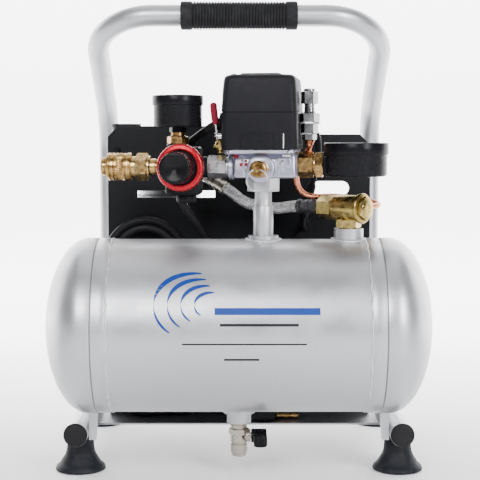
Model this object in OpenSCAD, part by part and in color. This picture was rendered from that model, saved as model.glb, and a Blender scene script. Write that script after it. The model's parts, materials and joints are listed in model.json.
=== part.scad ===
// Airbrush compressor: a small steel tank in a bent tube frame, with a
// pressure switch head on top and a piston pump behind a sheet panel.
// Units: millimetres. +X to the right, +Y to the back, +Z up. The origin is
// on the floor, under the middle of the whole object.

/* [Tank] */
// Outer radius of the rolled shell
tank_r = 68; // [64:0.5:70]
// Half of the shell's length
tank_half = 117.25; // [112:0.25:118]
// Depth of each dished head
head_depth = 34; // [28:1:36]
// Sheet thickness of shell and heads
tank_wall = 2; // [1.5:0.25:3]
// How far the heads' lap stands proud of the shell
lap = 1; // [0.6:0.1:1.2]
// Height of the tank's axis above the floor
tank_z = 119.5; // [118:0.5:122]

/* [Frame] */
// Outer radius of the bent tube
tube_r = 9.5; // [9:0.25:10]
// Wall of the bent tube
tube_wall = 1.5; // [1:0.25:2]
// Half of the distance between the two side runs
frame_half_w = 128; // [127:0.5:130]
// Height of the rails' axis
rail_z = 35; // [34:0.5:36]
// Bend radius at the back of the rails and at the kink
side_bend = 60; // [50:1:60]
// Bend radius of the two handle corners
handle_bend = 52; // [45:1:55]
// Height at which the upright's axis would meet the sloped run
kink_z = 284.5; // [280:0.5:288]
// Angle that the upright leans forward by above the kink
kink_angle = 55; // [52:1:58]
// Length of the sloped run, from the kink to the top bar's axis
slope_run = 155; // [150:1:158]

/* [Grip and feet] */
// Length of the rubber grip
grip_len = 102; // [90:1:110]
// Radius over the grip's ribs
grip_r = 12.4; // [12:0.1:13]
// Number of ribs between the grip's plain ends
grip_ribs = 28; // [10:1:30]
// Radius of a foot's rim
foot_r = 20.2; // [18:0.1:21]
// Radius of a foot's neck
foot_neck_r = 10.85; // [10.5:0.05:11.5]
// Place of the front feet along the rails, from the tank's axis
front_foot_y = 14; // [10:1:18]
// Place of the rear feet along the rails, from the tank's axis
rear_foot_y = 175; // [165:1:180]

/* [Switch head] */
// Place of the riser pipe along the tank
riser_x = 19; // [17:0.5:21]
// Turn of the whole head about the riser, clockwise from above
head_yaw = 7; // [7:1:7]
// Width of the switch cover
cover_w = 58.5; // [56:0.5:60]
// Depth of the switch cover
cover_d = 68; // [64:1:70]
// Height of the switch cover
cover_h = 58; // [54:1:60]
// Height at which the switch cover starts
cover_z = 258; // [258:1:258]
// Height of the left port's axis
port_z = 244; // [243:0.5:245]
// Height of the right port's axis
gauge_port_z = 246; // [245:0.5:247]

/* [Regulator, gauges and coupler] */
// Outer radius of the lock ring
lock_ring_r = 18.5; // [17:0.5:19]
// Radius of the adjusting knob
knob_r = 12.3; // [11.5:0.1:12.4]
// Radius of the outlet gauge's bezel
outlet_gauge_r = 20; // [18:0.5:21]
// Radius of the tank gauge's bezel
tank_gauge_r = 25; // [23:0.5:26]
// Radius of the coupler's sleeve
sleeve_r = 11; // [10.5:0.25:11.5]
// Radius of the coupler's socket
socket_r = 4.2; // [4:0.1:4.4]
// Travel of the coupler's sleeve
sleeve_travel = 3.3; // [2:0.1:3.3]

/* [Pump] */
// Height of the crankshaft
shaft_z = 140; // [138:1:142]
// Place of the crankshaft behind the tank's axis
shaft_y = 165; // [160:1:168]
// Crank throw, half of the stroke
crank_throw = 6; // [4:0.5:6]
// Radius of the cylinder bore
bore_r = 20; // [19:0.5:21]
// Outer radius of the motor
motor_r = 56; // [52:1:58]

/* [Cord] */
// Diameter of the power cord
cord_d = 6.5; // [6.5:0.1:6.5]
// Diameter of the braided discharge hose
hose_d = 9.5; // [9:0.1:10]
// Diameter of the copper unloader tube
copper_d = 4.5; // [4:0.1:4.8]
// Diameter of the motor lead
lead_d = 5.5; // [5:0.1:6]

/* [Hidden] */
$fn = 64;

// Small gap between faces that only touch
touch = 0.05;

// Frame: places in the plane of each side run, [y, z]
upright_y = 250;
rail_front_y = -17;
bend_y = upright_y - side_bend;
kink_setback = side_bend * tan(kink_angle / 2);
corner_run = slope_run - handle_bend;
rail_low = rail_z - tube_r;
// Inner faces of the two side runs
inner_x = frame_half_w - tube_r;
// Middle of the object's depth, which becomes the origin
mid_y = (upright_y + tube_r - tank_r - lap) / 2;

// Sheet parts
sheet = 1.5;
deck_top = 29;
panel_y = 88;
panel_half_w = 112;
panel_left_top = 277;
panel_right_top = 270;

// Head: faces of the switch cover and the manifold, before the head is turned
cover_x = -11;
cover_y = -28;
cover_wall = 2.2;
manifold_x0 = -4;
manifold_x1 = 46;
manifold_z = 235.6;
valve_x = 18.5;
valve_z = 243;

// Regulator, gauges and coupler, before the head is turned
reg_x = -42;
reg_x0 = -57;
reg_x1 = -30;
reg_neck_r = 13.4;
ring_y0 = -32;
ring_y1 = -24;
knob_y = -55;
outlet_gauge_x = -48.5;
outlet_gauge_z = 275;
tank_gauge_x = 91.2;
tank_gauge_z = 237;
coupler_mouth_x = -109.6;
sleeve_x0 = -104.8;
coupler_hex_x = -81.7;
coupler_tube_r = 8.2;
safety_y = -40;
ring_r = 8.1;
ring_wire = 0.55;

// Valves on the tank
check_x = 86;
check_z = 212;
check_turn = 40;
drain_z = 30.6;

// Pump: places along the crankshaft
cyl_x = -67;
crank_chamber_r = 34;
motor_x0 = -36;
motor_x1 = 66;
fan_x1 = 100;
shaft_r = 6;
bearing_r = 14;
pin_r = 4;
rod_len = 62;
cyl_z0 = shaft_z + 40;
cyl_z1 = shaft_z + 93;
bolt_pitch = 24;

// Hank of spare cord, standing on the deck behind the tank
hank_x = -79;
hank_y0 = 70.25;
hank_r = 36;
hank_thick = 2 * cord_d;
hank_run = 100;
plug_y = 64.5;
plug_z = 36.2;
// Rear end of the plug's strain relief
plug_x = -8;

// Routes, each a list of points from end to end, before the shift to the origin
hose_route = [
    [49, 31, 212], [42, 37, 211], [29, 42, 209.5], [12, 45, 212], [3, 48, 215.5], [-6, 52, 222],
    [-14, 58, 227], [-21, 68, 231], [-26, 80, 233], [-28.2, 95, 235.5], [-29.8, 113, 239.5], [-30.5, 132, 241]
];
copper_route = [
    [55, 1, 265], [55, 2, 260], [53, 8, 254], [49, 11, 247], [46, 13, 240], [46, 15, 232],
    [49, 17, 225], [55, 19, 221], [64, 21, 220], [75, 25, 220], [86, 33, 219], [95, 41.5, 217.5],
    [104, 44.5, 215.5], [110.4, 41.9, 214.2], [113, 35.5, 213], [110.9, 29.7, 212.3],
    [103.2, 20.6, 212], [95.6, 11.5, 212]
];
lead_route = [
    [48.5, 23.6, 276], [54, 23, 275.9], [60, 24.5, 272.5], [63.3, 27.5, 265], [63.8, 30.5, 255],
    [63, 33.5, 245], [61, 37, 236], [59, 41, 227], [56, 46, 216], [54, 51, 206], [53, 57, 197], [54, 65, 191.5],
    [56, 75, 190.5], [56.5, 86, 193.5], [55, 97, 197], [52, 106, 197.5], [50.3, 113.5, 191.5], [50, 120, 185]
];
cord_in_route = [
    [-25.5, 19.5, 273], [-32, 22.5, 268.5], [-39, 26, 263], [-45, 29, 256.5], [-50, 31.5, 248.5],
    [-52.5, 34, 239.5], [-52.3, 36, 230.5], [-49.8, 37.5, 222], [-46, 39, 213.5], [-41.3, 41, 205.5],
    [-36, 44, 198], [-31.5, 48, 190], [-27.8, 53, 181.5], [-25, 59.5, 172.5], [-23, 66.5, 162.5],
    [-22, 73, 151], [-21, 77.5, 138], [-21, 80, 124], [-21, 80, 108], [-21, 80, 92], [-21, 80, 77],
    [-21, 80, 62.2], [-22.5, 80, 53], [-26.7, 80, 44.6], [-33.4, 80, 38], [-41.7, 80, 33.7],
    [-51, 80, 32.2], [-58, 80, 32.2]
];
cord_out_route = [
    [-46, 73.5, 74], [-46, 73.5, 64.2], [-44.6, 73.2, 55.6], [-40.7, 71.8, 47.7], [-34.5, 69.6, 41.6],
    [-26.7, 67.2, 37.6], [-18, 65.3, 36.2], [-8, 64.5, 36.2]
];

// ---- Helpers ---------------------------------------------------------------

// Moves the tank's axis system to the object's origin
module row() { translate([0, -mid_y, 0]) children(); }

// Turns what belongs to the head about the riser
module head() {
    row() translate([riser_x, 0, 0]) rotate([0, 0, -head_yaw]) translate([-riser_x, 0, 0]) children();
}

// Cylinders between two places along an axis, centred on the other two
module rod_x(x0, x1, r, y = 0, z = 0) { translate([x0, y, z]) rotate([0, 90, 0]) cylinder(h = x1 - x0, r = r); }
module rod_y(y0, y1, r, x = 0, z = 0) { translate([x, y1, z]) rotate([90, 0, 0]) cylinder(h = y1 - y0, r = r); }
module rod_z(z0, z1, r, x = 0, y = 0) { translate([x, y, z0]) cylinder(h = z1 - z0, r = r); }

// Hexagons, given by the width across flats
function hex_r(af) = af / 2 / cos(30);
module hex_x(x0, x1, af, y = 0, z = 0) {
    translate([x0, y, z]) rotate([0, 90, 0]) cylinder(h = x1 - x0, r = hex_r(af), $fn = 6);
}
module hex_z(z0, z1, af, x = 0, y = 0) { translate([x, y, z0]) cylinder(h = z1 - z0, r = hex_r(af), $fn = 6); }

// Box between two corners
module slab(lo, hi) { translate(lo) cube(hi - lo); }

// Box with rounded upright edges
module soft_slab(lo, hi, r) {
    size = hi - lo;
    translate(lo) linear_extrude(size[2]) {
        translate([r, 0]) square([size[0] - 2 * r, size[1]]);
        translate([0, r]) square([size[0], size[1] - 2 * r]);
        for (x = [r, size[0] - r], y = [r, size[1] - r]) translate([x, y]) circle(r);
    }
}

// Ring with a square section, around Z
module ring_z(z0, z1, r_out, r_in, x = 0, y = 0) {
    difference() {
        rod_z(z0, z1, r_out, x, y);
        rod_z(z0 - 1, z1 + 1, r_in, x, y);
    }
}

// The tank's outer envelope, grown by a margin
module tank_space(margin) { rod_x(-tank_half - 20, tank_half + 20, tank_r + margin, 0, tank_z); }

// Smooth curve through the points of a route
function along(p, i, t) = let (
    a = p[max(i - 1, 0)], b = p[i], c = p[i + 1], d = p[min(i + 2, len(p) - 1)]
) 0.5 * (2 * b + (c - a) * t + (2 * a - 5 * b + 4 * c - d) * t * t + (3 * b - a - 3 * c + d) * t * t * t);
function smooth(p, steps) = concat(
    [for (i = [0 : len(p) - 2], k = [0 : steps - 1]) along(p, i, k / steps)], [p[len(p) - 1]]
);
function unit(v) = v / norm(v);
function heading(p, i) = unit(p[min(i + 1, len(p) - 1)] - p[max(i - 1, 0)]);
function sides_of(p, i, n) = i == len(p) ? [] :
    let (t = heading(p, i), m = unit(n - (n * t) * t)) concat([m], sides_of(p, i + 1, m));

// Round tube of radius r along a path
module sweep(path, r, sides) {
    last = len(path) - 1;
    n = sides_of(path, 0, [0.3, 0.4, 1]);
    points = [
        for (i = [0 : last], k = [0 : sides - 1])
            let (a = 360 * k / sides) path[i] + r * (cos(a) * n[i] + sin(a) * cross(heading(path, i), n[i]))
    ];
    walls = [
        for (i = [0 : last - 1], k = [0 : sides - 1])
            let (j = (k + 1) % sides)
                [i * sides + k, (i + 1) * sides + k, (i + 1) * sides + j, i * sides + j]
    ];
    start = [for (k = [0 : sides - 1]) k];
    end = [for (k = [sides - 1 : -1 : 0]) last * sides + k];
    polyhedron(points, concat(walls, [start, end]), convexity = 10);
}

// ---- Tank ------------------------------------------------------------------

// Half of a dished head's section, from the rim to the tip, [radius, depth]
function dish(r, d, from, to) = [for (i = [0 : 16]) let (a = from + (to - from) * i / 16) [r * cos(a), d * sin(a)]];

module tank_shell() {
    color("silver") row() difference() {
        rod_x(-tank_half, tank_half, tank_r, 0, tank_z);
        rod_x(-tank_half - 1, tank_half + 1, tank_r - tank_wall, 0, tank_z);
        rod_z(tank_z, tank_z + tank_r + 5, 5, riser_x);
        rod_z(tank_z, tank_z + tank_r + 5, 5, check_x);
        rod_z(tank_z - tank_r - 5, tank_z, 4);
    }
}

module tank_head() {
    outer = dish(tank_r + lap, head_depth, 0, 90);
    inner = dish(tank_r + lap - tank_wall, head_depth - tank_wall, 90, 0);
    rotate_extrude() {
        polygon(concat(outer, inner));
        translate([tank_r, -10.25]) square([lap, 10.25]);
    }
}

module tank_heads() {
    color("silver") row() for (side = [-1, 1])
        translate([side * tank_half, 0, tank_z]) rotate([0, 90 * side, 0]) tank_head();
}

module tank_bosses() {
    color("silver") row() {
        difference() {
            rod_z(tank_z + 50, tank_z + tank_r + 3, 12, riser_x);
            tank_space(touch);
            rod_z(tank_z, tank_z + tank_r + 4, 8, riser_x);
        }
        difference() {
            rod_z(tank_z + 50, tank_z + tank_r + 8.5, 11.5, check_x);
            tank_space(touch);
            rod_z(tank_z, tank_z + tank_r + 9, 5, check_x);
        }
        difference() {
            union() {
                rod_z(tank_z - tank_r - 2, tank_z - 60, 12.5);
                rod_z(tank_z - tank_r - 9.5, tank_z - 60, 9.8);
            }
            tank_space(touch);
            rod_z(tank_z - tank_r - 10, tank_z, 4);
        }
    }
}

// ---- Frame -----------------------------------------------------------------

module tube_section() {
    difference() {
        circle(tube_r);
        circle(tube_r - tube_wall);
    }
}
module straight(len) { linear_extrude(len) tube_section(); }
module bend(r, angle) { rotate_extrude(angle = angle) translate([r, 0]) tube_section(); }

// One side of the frame, drawn in a plane with X along the rail and Y up, and then
// half of the top bar. Each stretch starts where the one before it ends.
module side_run() {
    upright = kink_z - kink_setback - rail_z - side_bend;
    sloped = corner_run - kink_setback;
    translate([rail_front_y, rail_z, 0]) rotate([0, 90, 0]) straight(bend_y - rail_front_y);
    translate([bend_y, rail_z + side_bend, 0]) rotate([0, 0, -90]) bend(side_bend, 90);
    translate([upright_y, rail_z + side_bend, 0]) rotate([-90, 0, 0]) straight(upright);
    translate([bend_y, rail_z + side_bend + upright, 0]) {
        bend(side_bend, kink_angle);
        rotate([0, 0, kink_angle]) translate([side_bend, 0, 0]) {
            rotate([-90, 0, 0]) straight(sloped);
            translate([0, sloped, 0]) rotate([0, -90, 0]) translate([-handle_bend, 0, 0]) {
                bend(handle_bend, 90);
                translate([0, handle_bend, 0]) rotate([0, -90, 0]) straight(frame_half_w - handle_bend);
            }
        }
    }
}

// Places things in the sloped plane of the handle, with Y up the slope
module slope() { translate([0, upright_y, kink_z]) rotate([90 + kink_angle, 0, 0]) children(); }

module frame_tube() {
    color("silver") row() for (side = [0, 1]) mirror([side, 0, 0]) translate([frame_half_w, 0, 0])
        difference() {
            rotate([90, 0, 90]) side_run();
            for (y = [front_foot_y, rear_foot_y]) rod_z(rail_low - 2, rail_z, 2.1, 0, y);
        }
}

module frame_plugs() {
    color("black") row() for (side = [-1, 1]) translate([side * frame_half_w, rail_front_y, rail_z]) {
        rod_y(0, 10, tube_r - tube_wall);
        rod_y(-1.5, 0, tube_r);
        rod_y(-2.5, -1.5, tube_r - 1.2);
    }
}

module handle_grip() {
    pitch = (grip_len - 24) / grip_ribs;
    color([0.16, 0.16, 0.17]) row() slope() translate([0, slope_run, 0]) difference() {
        union() {
            rod_x(-grip_len / 2, grip_len / 2, grip_r - 0.9);
            for (side = [-1, 1]) rod_x(side * (grip_len / 2 - 6) - 6, side * (grip_len / 2 - 6) + 6, grip_r);
            for (i = [0 : grip_ribs - 1])
                rod_x(12 - grip_len / 2 + (i + 0.2) * pitch, 12 - grip_len / 2 + (i + 0.8) * pitch, grip_r - 0.1);
        }
        rod_x(-grip_len, grip_len, tube_r);
    }
}

module foot() {
    difference() {
        union() {
            rotate_extrude() polygon([
                [0, 2.6], [14, 2.6], [17.5, 0], [foot_r, 0], [foot_r, 2.4], [foot_r - 2.6, 5], [15, 9],
                [foot_neck_r + 1.2, 13], [foot_neck_r, 17], [foot_neck_r, rail_z - 2], [0, rail_z - 2]
            ]);
        }
        translate([0, 0, rail_z]) rod_y(-foot_r, foot_r, tube_r);
        rod_z(0, rail_z, 2.1);
        rod_z(0, 6, 4.8);
    }
}

module at_feet() {
    row() for (side = [-1, 1], y = [front_foot_y, rear_foot_y])
        translate([side * frame_half_w, y, 0]) children();
}
module rubber_feet() { color([0.15, 0.16, 0.18]) at_feet() foot(); }
module foot_screws() {
    color("gray") at_feet() {
        rod_z(5, rail_low + 6, 2);
        difference() {
            rod_z(2.7, 5.9, 4.6);
            slab([-3, -0.5, 2], [3, 0.5, 3.7]);
            slab([-0.5, -3, 2], [0.5, 3, 3.7]);
        }
    }
}

module tank_brackets() {
    y0 = -8;
    y1 = 42;
    color("silver") row() for (side = [0, 1]) mirror([side, 0, 0]) difference() {
        union() {
            slab([inner_x - sheet, y0, rail_z - 6], [inner_x, y1, tank_z]);
            translate([0, y0 + sheet, 0]) rotate([90, 0, 0]) linear_extrude(sheet) polygon([
                [inner_x, rail_z - 6], [inner_x - 6, rail_z - 6], [inner_x - 13, tank_z], [inner_x, tank_z]
            ]);
        }
        tank_space(lap + touch);
        rod_z(0, rail_z - 1.5, foot_neck_r + 0.3, frame_half_w, front_foot_y);
    }
}

module pump_deck() {
    y0 = 50;
    y1 = 228;
    color("silver") row() difference() {
        union() {
            slab([-inner_x, y0, deck_top - sheet], [inner_x, y1, deck_top]);
            for (side = [-1, 1])
                slab([side * (inner_x - sheet / 2) - sheet / 2, y0, deck_top - sheet],
                     [side * (inner_x - sheet / 2) + sheet / 2, y1, rail_z + 5]);
        }
        for (x = [-1, 1], y = [-1, 1]) rod_z(0, rail_z, 3.1, isolator_x(x), isolator_y(y));
        for (side = [-1, 1]) rod_z(0, rail_z - 1.5, foot_neck_r + 0.3, side * frame_half_w, rear_foot_y);
    }
}
function isolator_x(side) = 5 + 62 * side;
function isolator_y(side) = shaft_y + 32 * side;

module deck_isolators() {
    color([0.1, 0.1, 0.1]) row() for (x = [-1, 1], y = [-1, 1])
        translate([isolator_x(x), isolator_y(y), 0]) {
            rotate_extrude() polygon([[0, deck_top], [9, deck_top], [7.5, 37], [9, 45], [0, 45]]);
            rod_z(deck_top - 4, deck_top, 3);
        }
}

module front_panel() {
    edge = panel_half_w;
    color([0.12, 0.12, 0.13]) row() difference() {
        union() {
            translate([0, panel_y + sheet, 0]) rotate([90, 0, 0]) linear_extrude(sheet) polygon([
                [-edge, deck_top], [edge, deck_top], [edge, panel_right_top - 9], [edge - 9, panel_right_top],
                [26, panel_right_top], [19, panel_left_top], [9 - edge, panel_left_top],
                [-edge, panel_left_top - 9]
            ]);
            for (side = [-1, 1])
                slab([side * (edge - sheet / 2) - sheet / 2, panel_y, deck_top],
                     [side * (edge - sheet / 2) + sheet / 2, panel_y + 16, panel_right_top - 9]);
            slab([-edge, panel_y, deck_top], [edge, panel_y + 16, deck_top + sheet]);
        }
        slab([-87, panel_y - 1, 216], [-20.5, panel_y + 5, 222]);
        for (x = [68, 88]) rod_y(panel_y - 1, panel_y + 5, 6, x, 224);
        slab([68, panel_y - 1, 218], [88, panel_y + 5, 230]);
        rod_y(panel_y - 1, panel_y + 5, hose_d / 2 + 1.5, -27.5, 234.2);
        rod_y(panel_y - 1, panel_y + 5, lead_d / 2 + 1.5, 56.2, 193.8);
    }
}

// ---- Pump ------------------------------------------------------------------

module crankcase() {
    x0 = -100;
    color([0.7, 0.71, 0.72]) row() difference() {
        union() {
            rod_x(x0, motor_x0, crank_chamber_r + 5, shaft_y, shaft_z);
            rod_x(motor_x0 - 5, motor_x0, motor_r, shaft_y, shaft_z);
            slab([cyl_x - 30, shaft_y - 30, shaft_z], [cyl_x + 26, shaft_y + 30, cyl_z0]);
            slab([isolator_x(-1) - 12, isolator_y(-1) - 10, 45], [isolator_x(-1) + 12, isolator_y(1) + 10, 51]);
            slab([isolator_x(-1) - 8, shaft_y - 26, 50], [isolator_x(-1) + 8, shaft_y + 26, shaft_z]);
        }
        rod_x(x0 + 5, -44, crank_chamber_r, shaft_y, shaft_z);
        rod_x(-45, motor_x0 + 1, bearing_r, shaft_y, shaft_z);
        rod_z(shaft_z, cyl_z0 + 1, bore_r, cyl_x, shaft_y);
    }
}

module cylinder_fin(z) { rod_z(z, z + 2, bore_r + 11, cyl_x, shaft_y); }
module pump_cylinder() {
    color([0.62, 0.63, 0.65]) row() difference() {
        union() {
            rod_z(cyl_z0, cyl_z1, bore_r + 5, cyl_x, shaft_y);
            soft_slab([cyl_x - 28, shaft_y - 28, cyl_z0], [cyl_x + 26, shaft_y + 28, cyl_z0 + 4], 4);
            soft_slab([cyl_x - 30, shaft_y - 30, cyl_z1 - 3], [cyl_x + 30, shaft_y + 30, cyl_z1], 5);
            for (z = [cyl_z0 + 9 : 6 : cyl_z1 - 8]) cylinder_fin(z);
        }
        rod_z(cyl_z0 - 1, cyl_z1 + 1, bore_r, cyl_x, shaft_y);
        slab([motor_x0 - 5.3, shaft_y - 60, cyl_z0], [motor_x0 + 1, shaft_y + 60, shaft_z + motor_r + 0.5]);
    }
}

module at_head_bolts() {
    row() for (x = [-1, 1], y = [-1, 1])
        translate([cyl_x + bolt_pitch * x, shaft_y + bolt_pitch * y, 0]) children();
}
module cylinder_head() {
    top = cyl_z1 + 16;
    color([0.66, 0.67, 0.69]) difference() {
        row() {
            soft_slab([cyl_x - 30, shaft_y - 30, cyl_z1], [cyl_x + 30, shaft_y + 30, top], 5);
            for (y = [-15 : 6 : 15]) slab([cyl_x - 20, shaft_y + y - 1, top], [cyl_x + 28, shaft_y + y + 1, top + 10]);
            slab([cyl_x + 29, shaft_y - 21, cyl_z1 + 1], [cyl_x + 43.5, shaft_y - 10, cyl_z1 + 15]);
        }
        at_head_bolts() rod_z(cyl_z1 - 1, top + 1, 2.6);
    }
}
module head_bolts() {
    top = cyl_z1 + 16;
    color("gray") at_head_bolts() difference() {
        union() {
            rod_z(cyl_z1, top, 2.5);
            rod_z(top, top + 5, 4.2);
        }
        hex_z(top + 2.5, top + 6, 4);
    }
}
module intake_filter() {
    color([0.1, 0.1, 0.1]) row() translate([cyl_x - 34, shaft_y - 22, cyl_z1 + 30]) difference() {
        union() {
            rod_z(-8, 13.5, 12);
            rod_z(13.5, 16.5, 13);
            rod_z(-22, -8, 3.6);
            rod_x(0, 4, 3.6, 0, -22);
        }
        for (a = [0 : 30 : 330]) rotate([0, 0, a]) translate([12, 0, -4]) cube([3, 2, 14]);
    }
}

module motor_housing() {
    foot_x = isolator_x(1);
    color([0.2, 0.2, 0.22]) row() difference() {
        union() {
            rod_x(motor_x0, motor_x1, motor_r, shaft_y, shaft_z);
            slab([foot_x - 12, isolator_y(-1) - 10, 45], [foot_x + 12, isolator_y(1) + 10, 51]);
            slab([foot_x - 8, shaft_y - 30, 50], [foot_x - 2, shaft_y + 30, shaft_z]);
            translate([50, shaft_y, shaft_z]) rotate([45, 0, 0]) rod_z(0, motor_r + 7.5, 6);
            slab([0, shaft_y + 34, shaft_z + 34], [24, shaft_y + 50, shaft_z + 50]);
        }
        rod_x(motor_x0 - 1, motor_x1 - 5, motor_r - 3, shaft_y, shaft_z);
        rod_x(motor_x1 - 6, motor_x1 + 1, bearing_r, shaft_y, shaft_z);
        rod_x(-30, 60, 17, shaft_y + 52, shaft_z + 52);
    }
}
module stator() {
    color([0.55, 0.4, 0.25]) row() difference() {
        union() {
            rod_x(-18, 44, motor_r - 3, shaft_y, shaft_z);
            for (x = [-29, 44]) rod_x(x, x + 11, 46, shaft_y, shaft_z);
        }
        rod_x(-40, 60, 29, shaft_y, shaft_z);
        for (x = [-30, 44]) rod_x(x, x + 12, 33, shaft_y, shaft_z);
    }
}
module rotor() {
    color([0.5, 0.5, 0.52]) row() {
        rod_x(-18, 44, 28.4, shaft_y, shaft_z);
        rod_x(-52, fan_x1 - 6, shaft_r, shaft_y, shaft_z);
    }
}
module bearing(x) {
    translate([x, shaft_y, shaft_z]) rotate([0, 90, 0]) difference() {
        ring_z(0, 5, bearing_r, shaft_r + 0.05);
        for (z = [-1, 4.2]) ring_z(z, z + 1.8, bearing_r - 2.5, shaft_r + 2.5);
    }
}
module shaft_bearings() { color("silver") row() for (x = [-42, 61]) bearing(x); }

module crank() {
    web_r = 20;
    color([0.45, 0.45, 0.47]) row() {
        difference() {
            rod_x(-60, -46, 11, shaft_y, shaft_z);
            rod_x(-52, -45, shaft_r, shaft_y, shaft_z);
        }
        difference() {
            rod_x(-60, -54, web_r + 4, shaft_y, shaft_z);
            slab([-61, shaft_y - 40, shaft_z + 12], [-50, shaft_y + 40, shaft_z + 40]);
            rod_x(-61, -53, 10.9, shaft_y, shaft_z);
        }
        rod_x(-74, -60, pin_r, shaft_y, shaft_z + crank_throw);
    }
}
module con_rod() {
    z0 = shaft_z + crank_throw;
    z1 = z0 + rod_len;
    color([0.7, 0.7, 0.68]) row() difference() {
        union() {
            rod_x(-72, -62, 9, shaft_y, z0);
            rod_x(-72, -62, 6.5, shaft_y, z1);
            slab([-70, shaft_y - 4, z0], [-64, shaft_y + 4, z1]);
        }
        rod_x(-80, -50, pin_r + touch, shaft_y, z0);
        rod_x(-80, -50, 2.5, shaft_y, z1);
    }
}
module piston() {
    crown = shaft_z + 2 * crank_throw + rod_len + 13;
    color([0.75, 0.75, 0.76]) row() difference() {
        union() {
            rod_z(crown - 27, crown + 4, bore_r - 0.1, cyl_x, shaft_y);
        }
        rod_z(crown - 28, crown, bore_r - 4, cyl_x, shaft_y);
        for (z = [-1, -6]) ring_z(crown + z, crown + z + 1.5, bore_r + 1, bore_r - 1, cyl_x, shaft_y);
    }
}

module cooling_fan() {
    color([0.15, 0.15, 0.16]) row() translate([72, shaft_y, shaft_z]) {
        difference() {
            rod_x(0, 18, 13);
            rod_x(-1, 19, shaft_r);
        }
        for (a = [0 : 45 : 315]) rotate([a, 0, 0]) translate([9, 0, 11]) rotate([0, 0, 35])
            translate([-8, -1, 0]) cube([16, 2, 35]);
    }
}
module fan_cover() {
    color([0.14, 0.14, 0.15]) row() translate([0, shaft_y, shaft_z]) difference() {
        rod_x(motor_x1, fan_x1, motor_r);
        rod_x(motor_x1 - 1, fan_x1 - 2, motor_r - 2);
        for (a = [0 : 30 : 330]) rotate([a, 0, 0]) slab([fan_x1 - 3, -3, 18], [fan_x1 + 1, 3, 46]);
    }
}
module run_capacitor() {
    color([0.85, 0.85, 0.83]) row() translate([0, shaft_y + 52, shaft_z + 52]) {
        rod_x(-22, 42, 16);
        rod_x(42, 45, 14);
        for (z = [-5, 5]) slab([45, -0.4, z - 3], [54, 0.4, z + 3]);
    }
}

// ---- Hoses and valves on the tank ------------------------------------------

module discharge_hose() { color([0.72, 0.73, 0.75]) row() sweep(smooth(hose_route, 2), hose_d / 2, 12); }

// Places things along the check valve's own axis, with +X towards its cap
module at_check() { translate([check_x, 0, check_z]) rotate([0, 0, -check_turn]) children(); }

module hose_ferrules() {
    first = hose_route[0];
    reach = norm([check_x, 0] - [first[0], first[1]]);
    last = hose_route[len(hose_route) - 1];
    color([0.12, 0.12, 0.13]) row() {
        at_check() difference() {
            rod_x(-reach - 1, -27, hose_d / 2 + 0.9);
            rod_x(-reach - 2, -reach, hose_d / 2);
        }
        rod_y(last[1] - 0.5, shaft_y - 21, hose_d / 2 + 1, last[0], last[2]);
    }
}

module check_valve_body() {
    color([0.72, 0.66, 0.36]) row() difference() {
        union() {
            rod_z(tank_z + tank_r + 8.5, check_z, 7, check_x);
            hex_z(tank_z + tank_r + 9, check_z - 8, 17, check_x);
            at_check() {
                rod_x(-12, 11, 10.3);
                hex_x(-26, -12, 17);
                rod_x(-27, -26, 6);
                rotate([0, 0, 90]) rod_x(8, 15, 5);
            }
        }
        rod_z(tank_z + tank_r, check_z, 4, check_x);
        at_check() rod_x(-28, 5, 4);
    }
}
module check_valve_cap() {
    color([0.76, 0.7, 0.4]) row() at_check() {
        rod_x(11, 14, 11.9);
        hex_x(14, 17.5, 16.5);
        rod_x(17.5, 18.3, 7);
    }
}
module unloader_tube() { color([0.8, 0.5, 0.4]) row() sweep(smooth(copper_route, 2), copper_d / 2, 10); }

module drain_valve() {
    color([0.75, 0.72, 0.68]) row() difference() {
        union() {
            rod_z(36, tank_z - tank_r - 9.5, 6.6);
            hex_z(32, 37, 14);
            rod_z(17, 33, 6.6);
            rod_z(14.6, 17, 5.6);
            rod_x(0, 9, 5, 0, drain_z);
            rod_x(9, 12, 2.4, 0, drain_z);
        }
        rod_z(14, 26, 3);
    }
}
module drain_handle() {
    color([0.1, 0.1, 0.1]) row() difference() {
        union() {
            rod_x(9.6, 22, 5.5, 0, drain_z);
            slab([11.5, -22, drain_z - 4.5], [22, 6, drain_z + 4.5]);
        }
        rod_x(9, 14, 2.5, 0, drain_z);
    }
}

// ---- Head ------------------------------------------------------------------

module riser_pipe() {
    z0 = tank_z + tank_r;
    color([0.8, 0.8, 0.82]) row() difference() {
        union() {
            rod_z(z0 + 0.5, z0 + 26.5, 7.95, riser_x);
            rod_z(z0 + 26.5, z0 + 38, 6.7, riser_x);
            translate([riser_x, 0, 0]) rotate([0, 0, -head_yaw]) hex_z(z0 + 37.5, manifold_z, 22);
        }
        rod_z(z0 - 2, manifold_z + 1, 4.5, riser_x);
    }
}

module manifold() {
    color([0.72, 0.73, 0.79]) head() difference() {
        union() {
            soft_slab([manifold_x0, -13, manifold_z], [manifold_x1, 13, cover_z - 2.5], 3);
            soft_slab([cover_x + 1.5, cover_y + 2, cover_z - 2.5],
                      [cover_x + cover_w - 1.5, cover_y + cover_d - 2, cover_z], 4);
            rod_y(-17, -12, 10.8, valve_x, valve_z);
            rod_x(-8.3, manifold_x0 + 1, 10, 0, port_z);
            rod_y(-12, 15, 9, valve_x, valve_z);
        }
        rod_y(-18, -5, 5, valve_x, valve_z);
        rod_z(manifold_z - 1, valve_z, 4.5, riser_x);
        hex_z(manifold_z - 5, manifold_z, 22.2, riser_x);
    }
}

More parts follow.
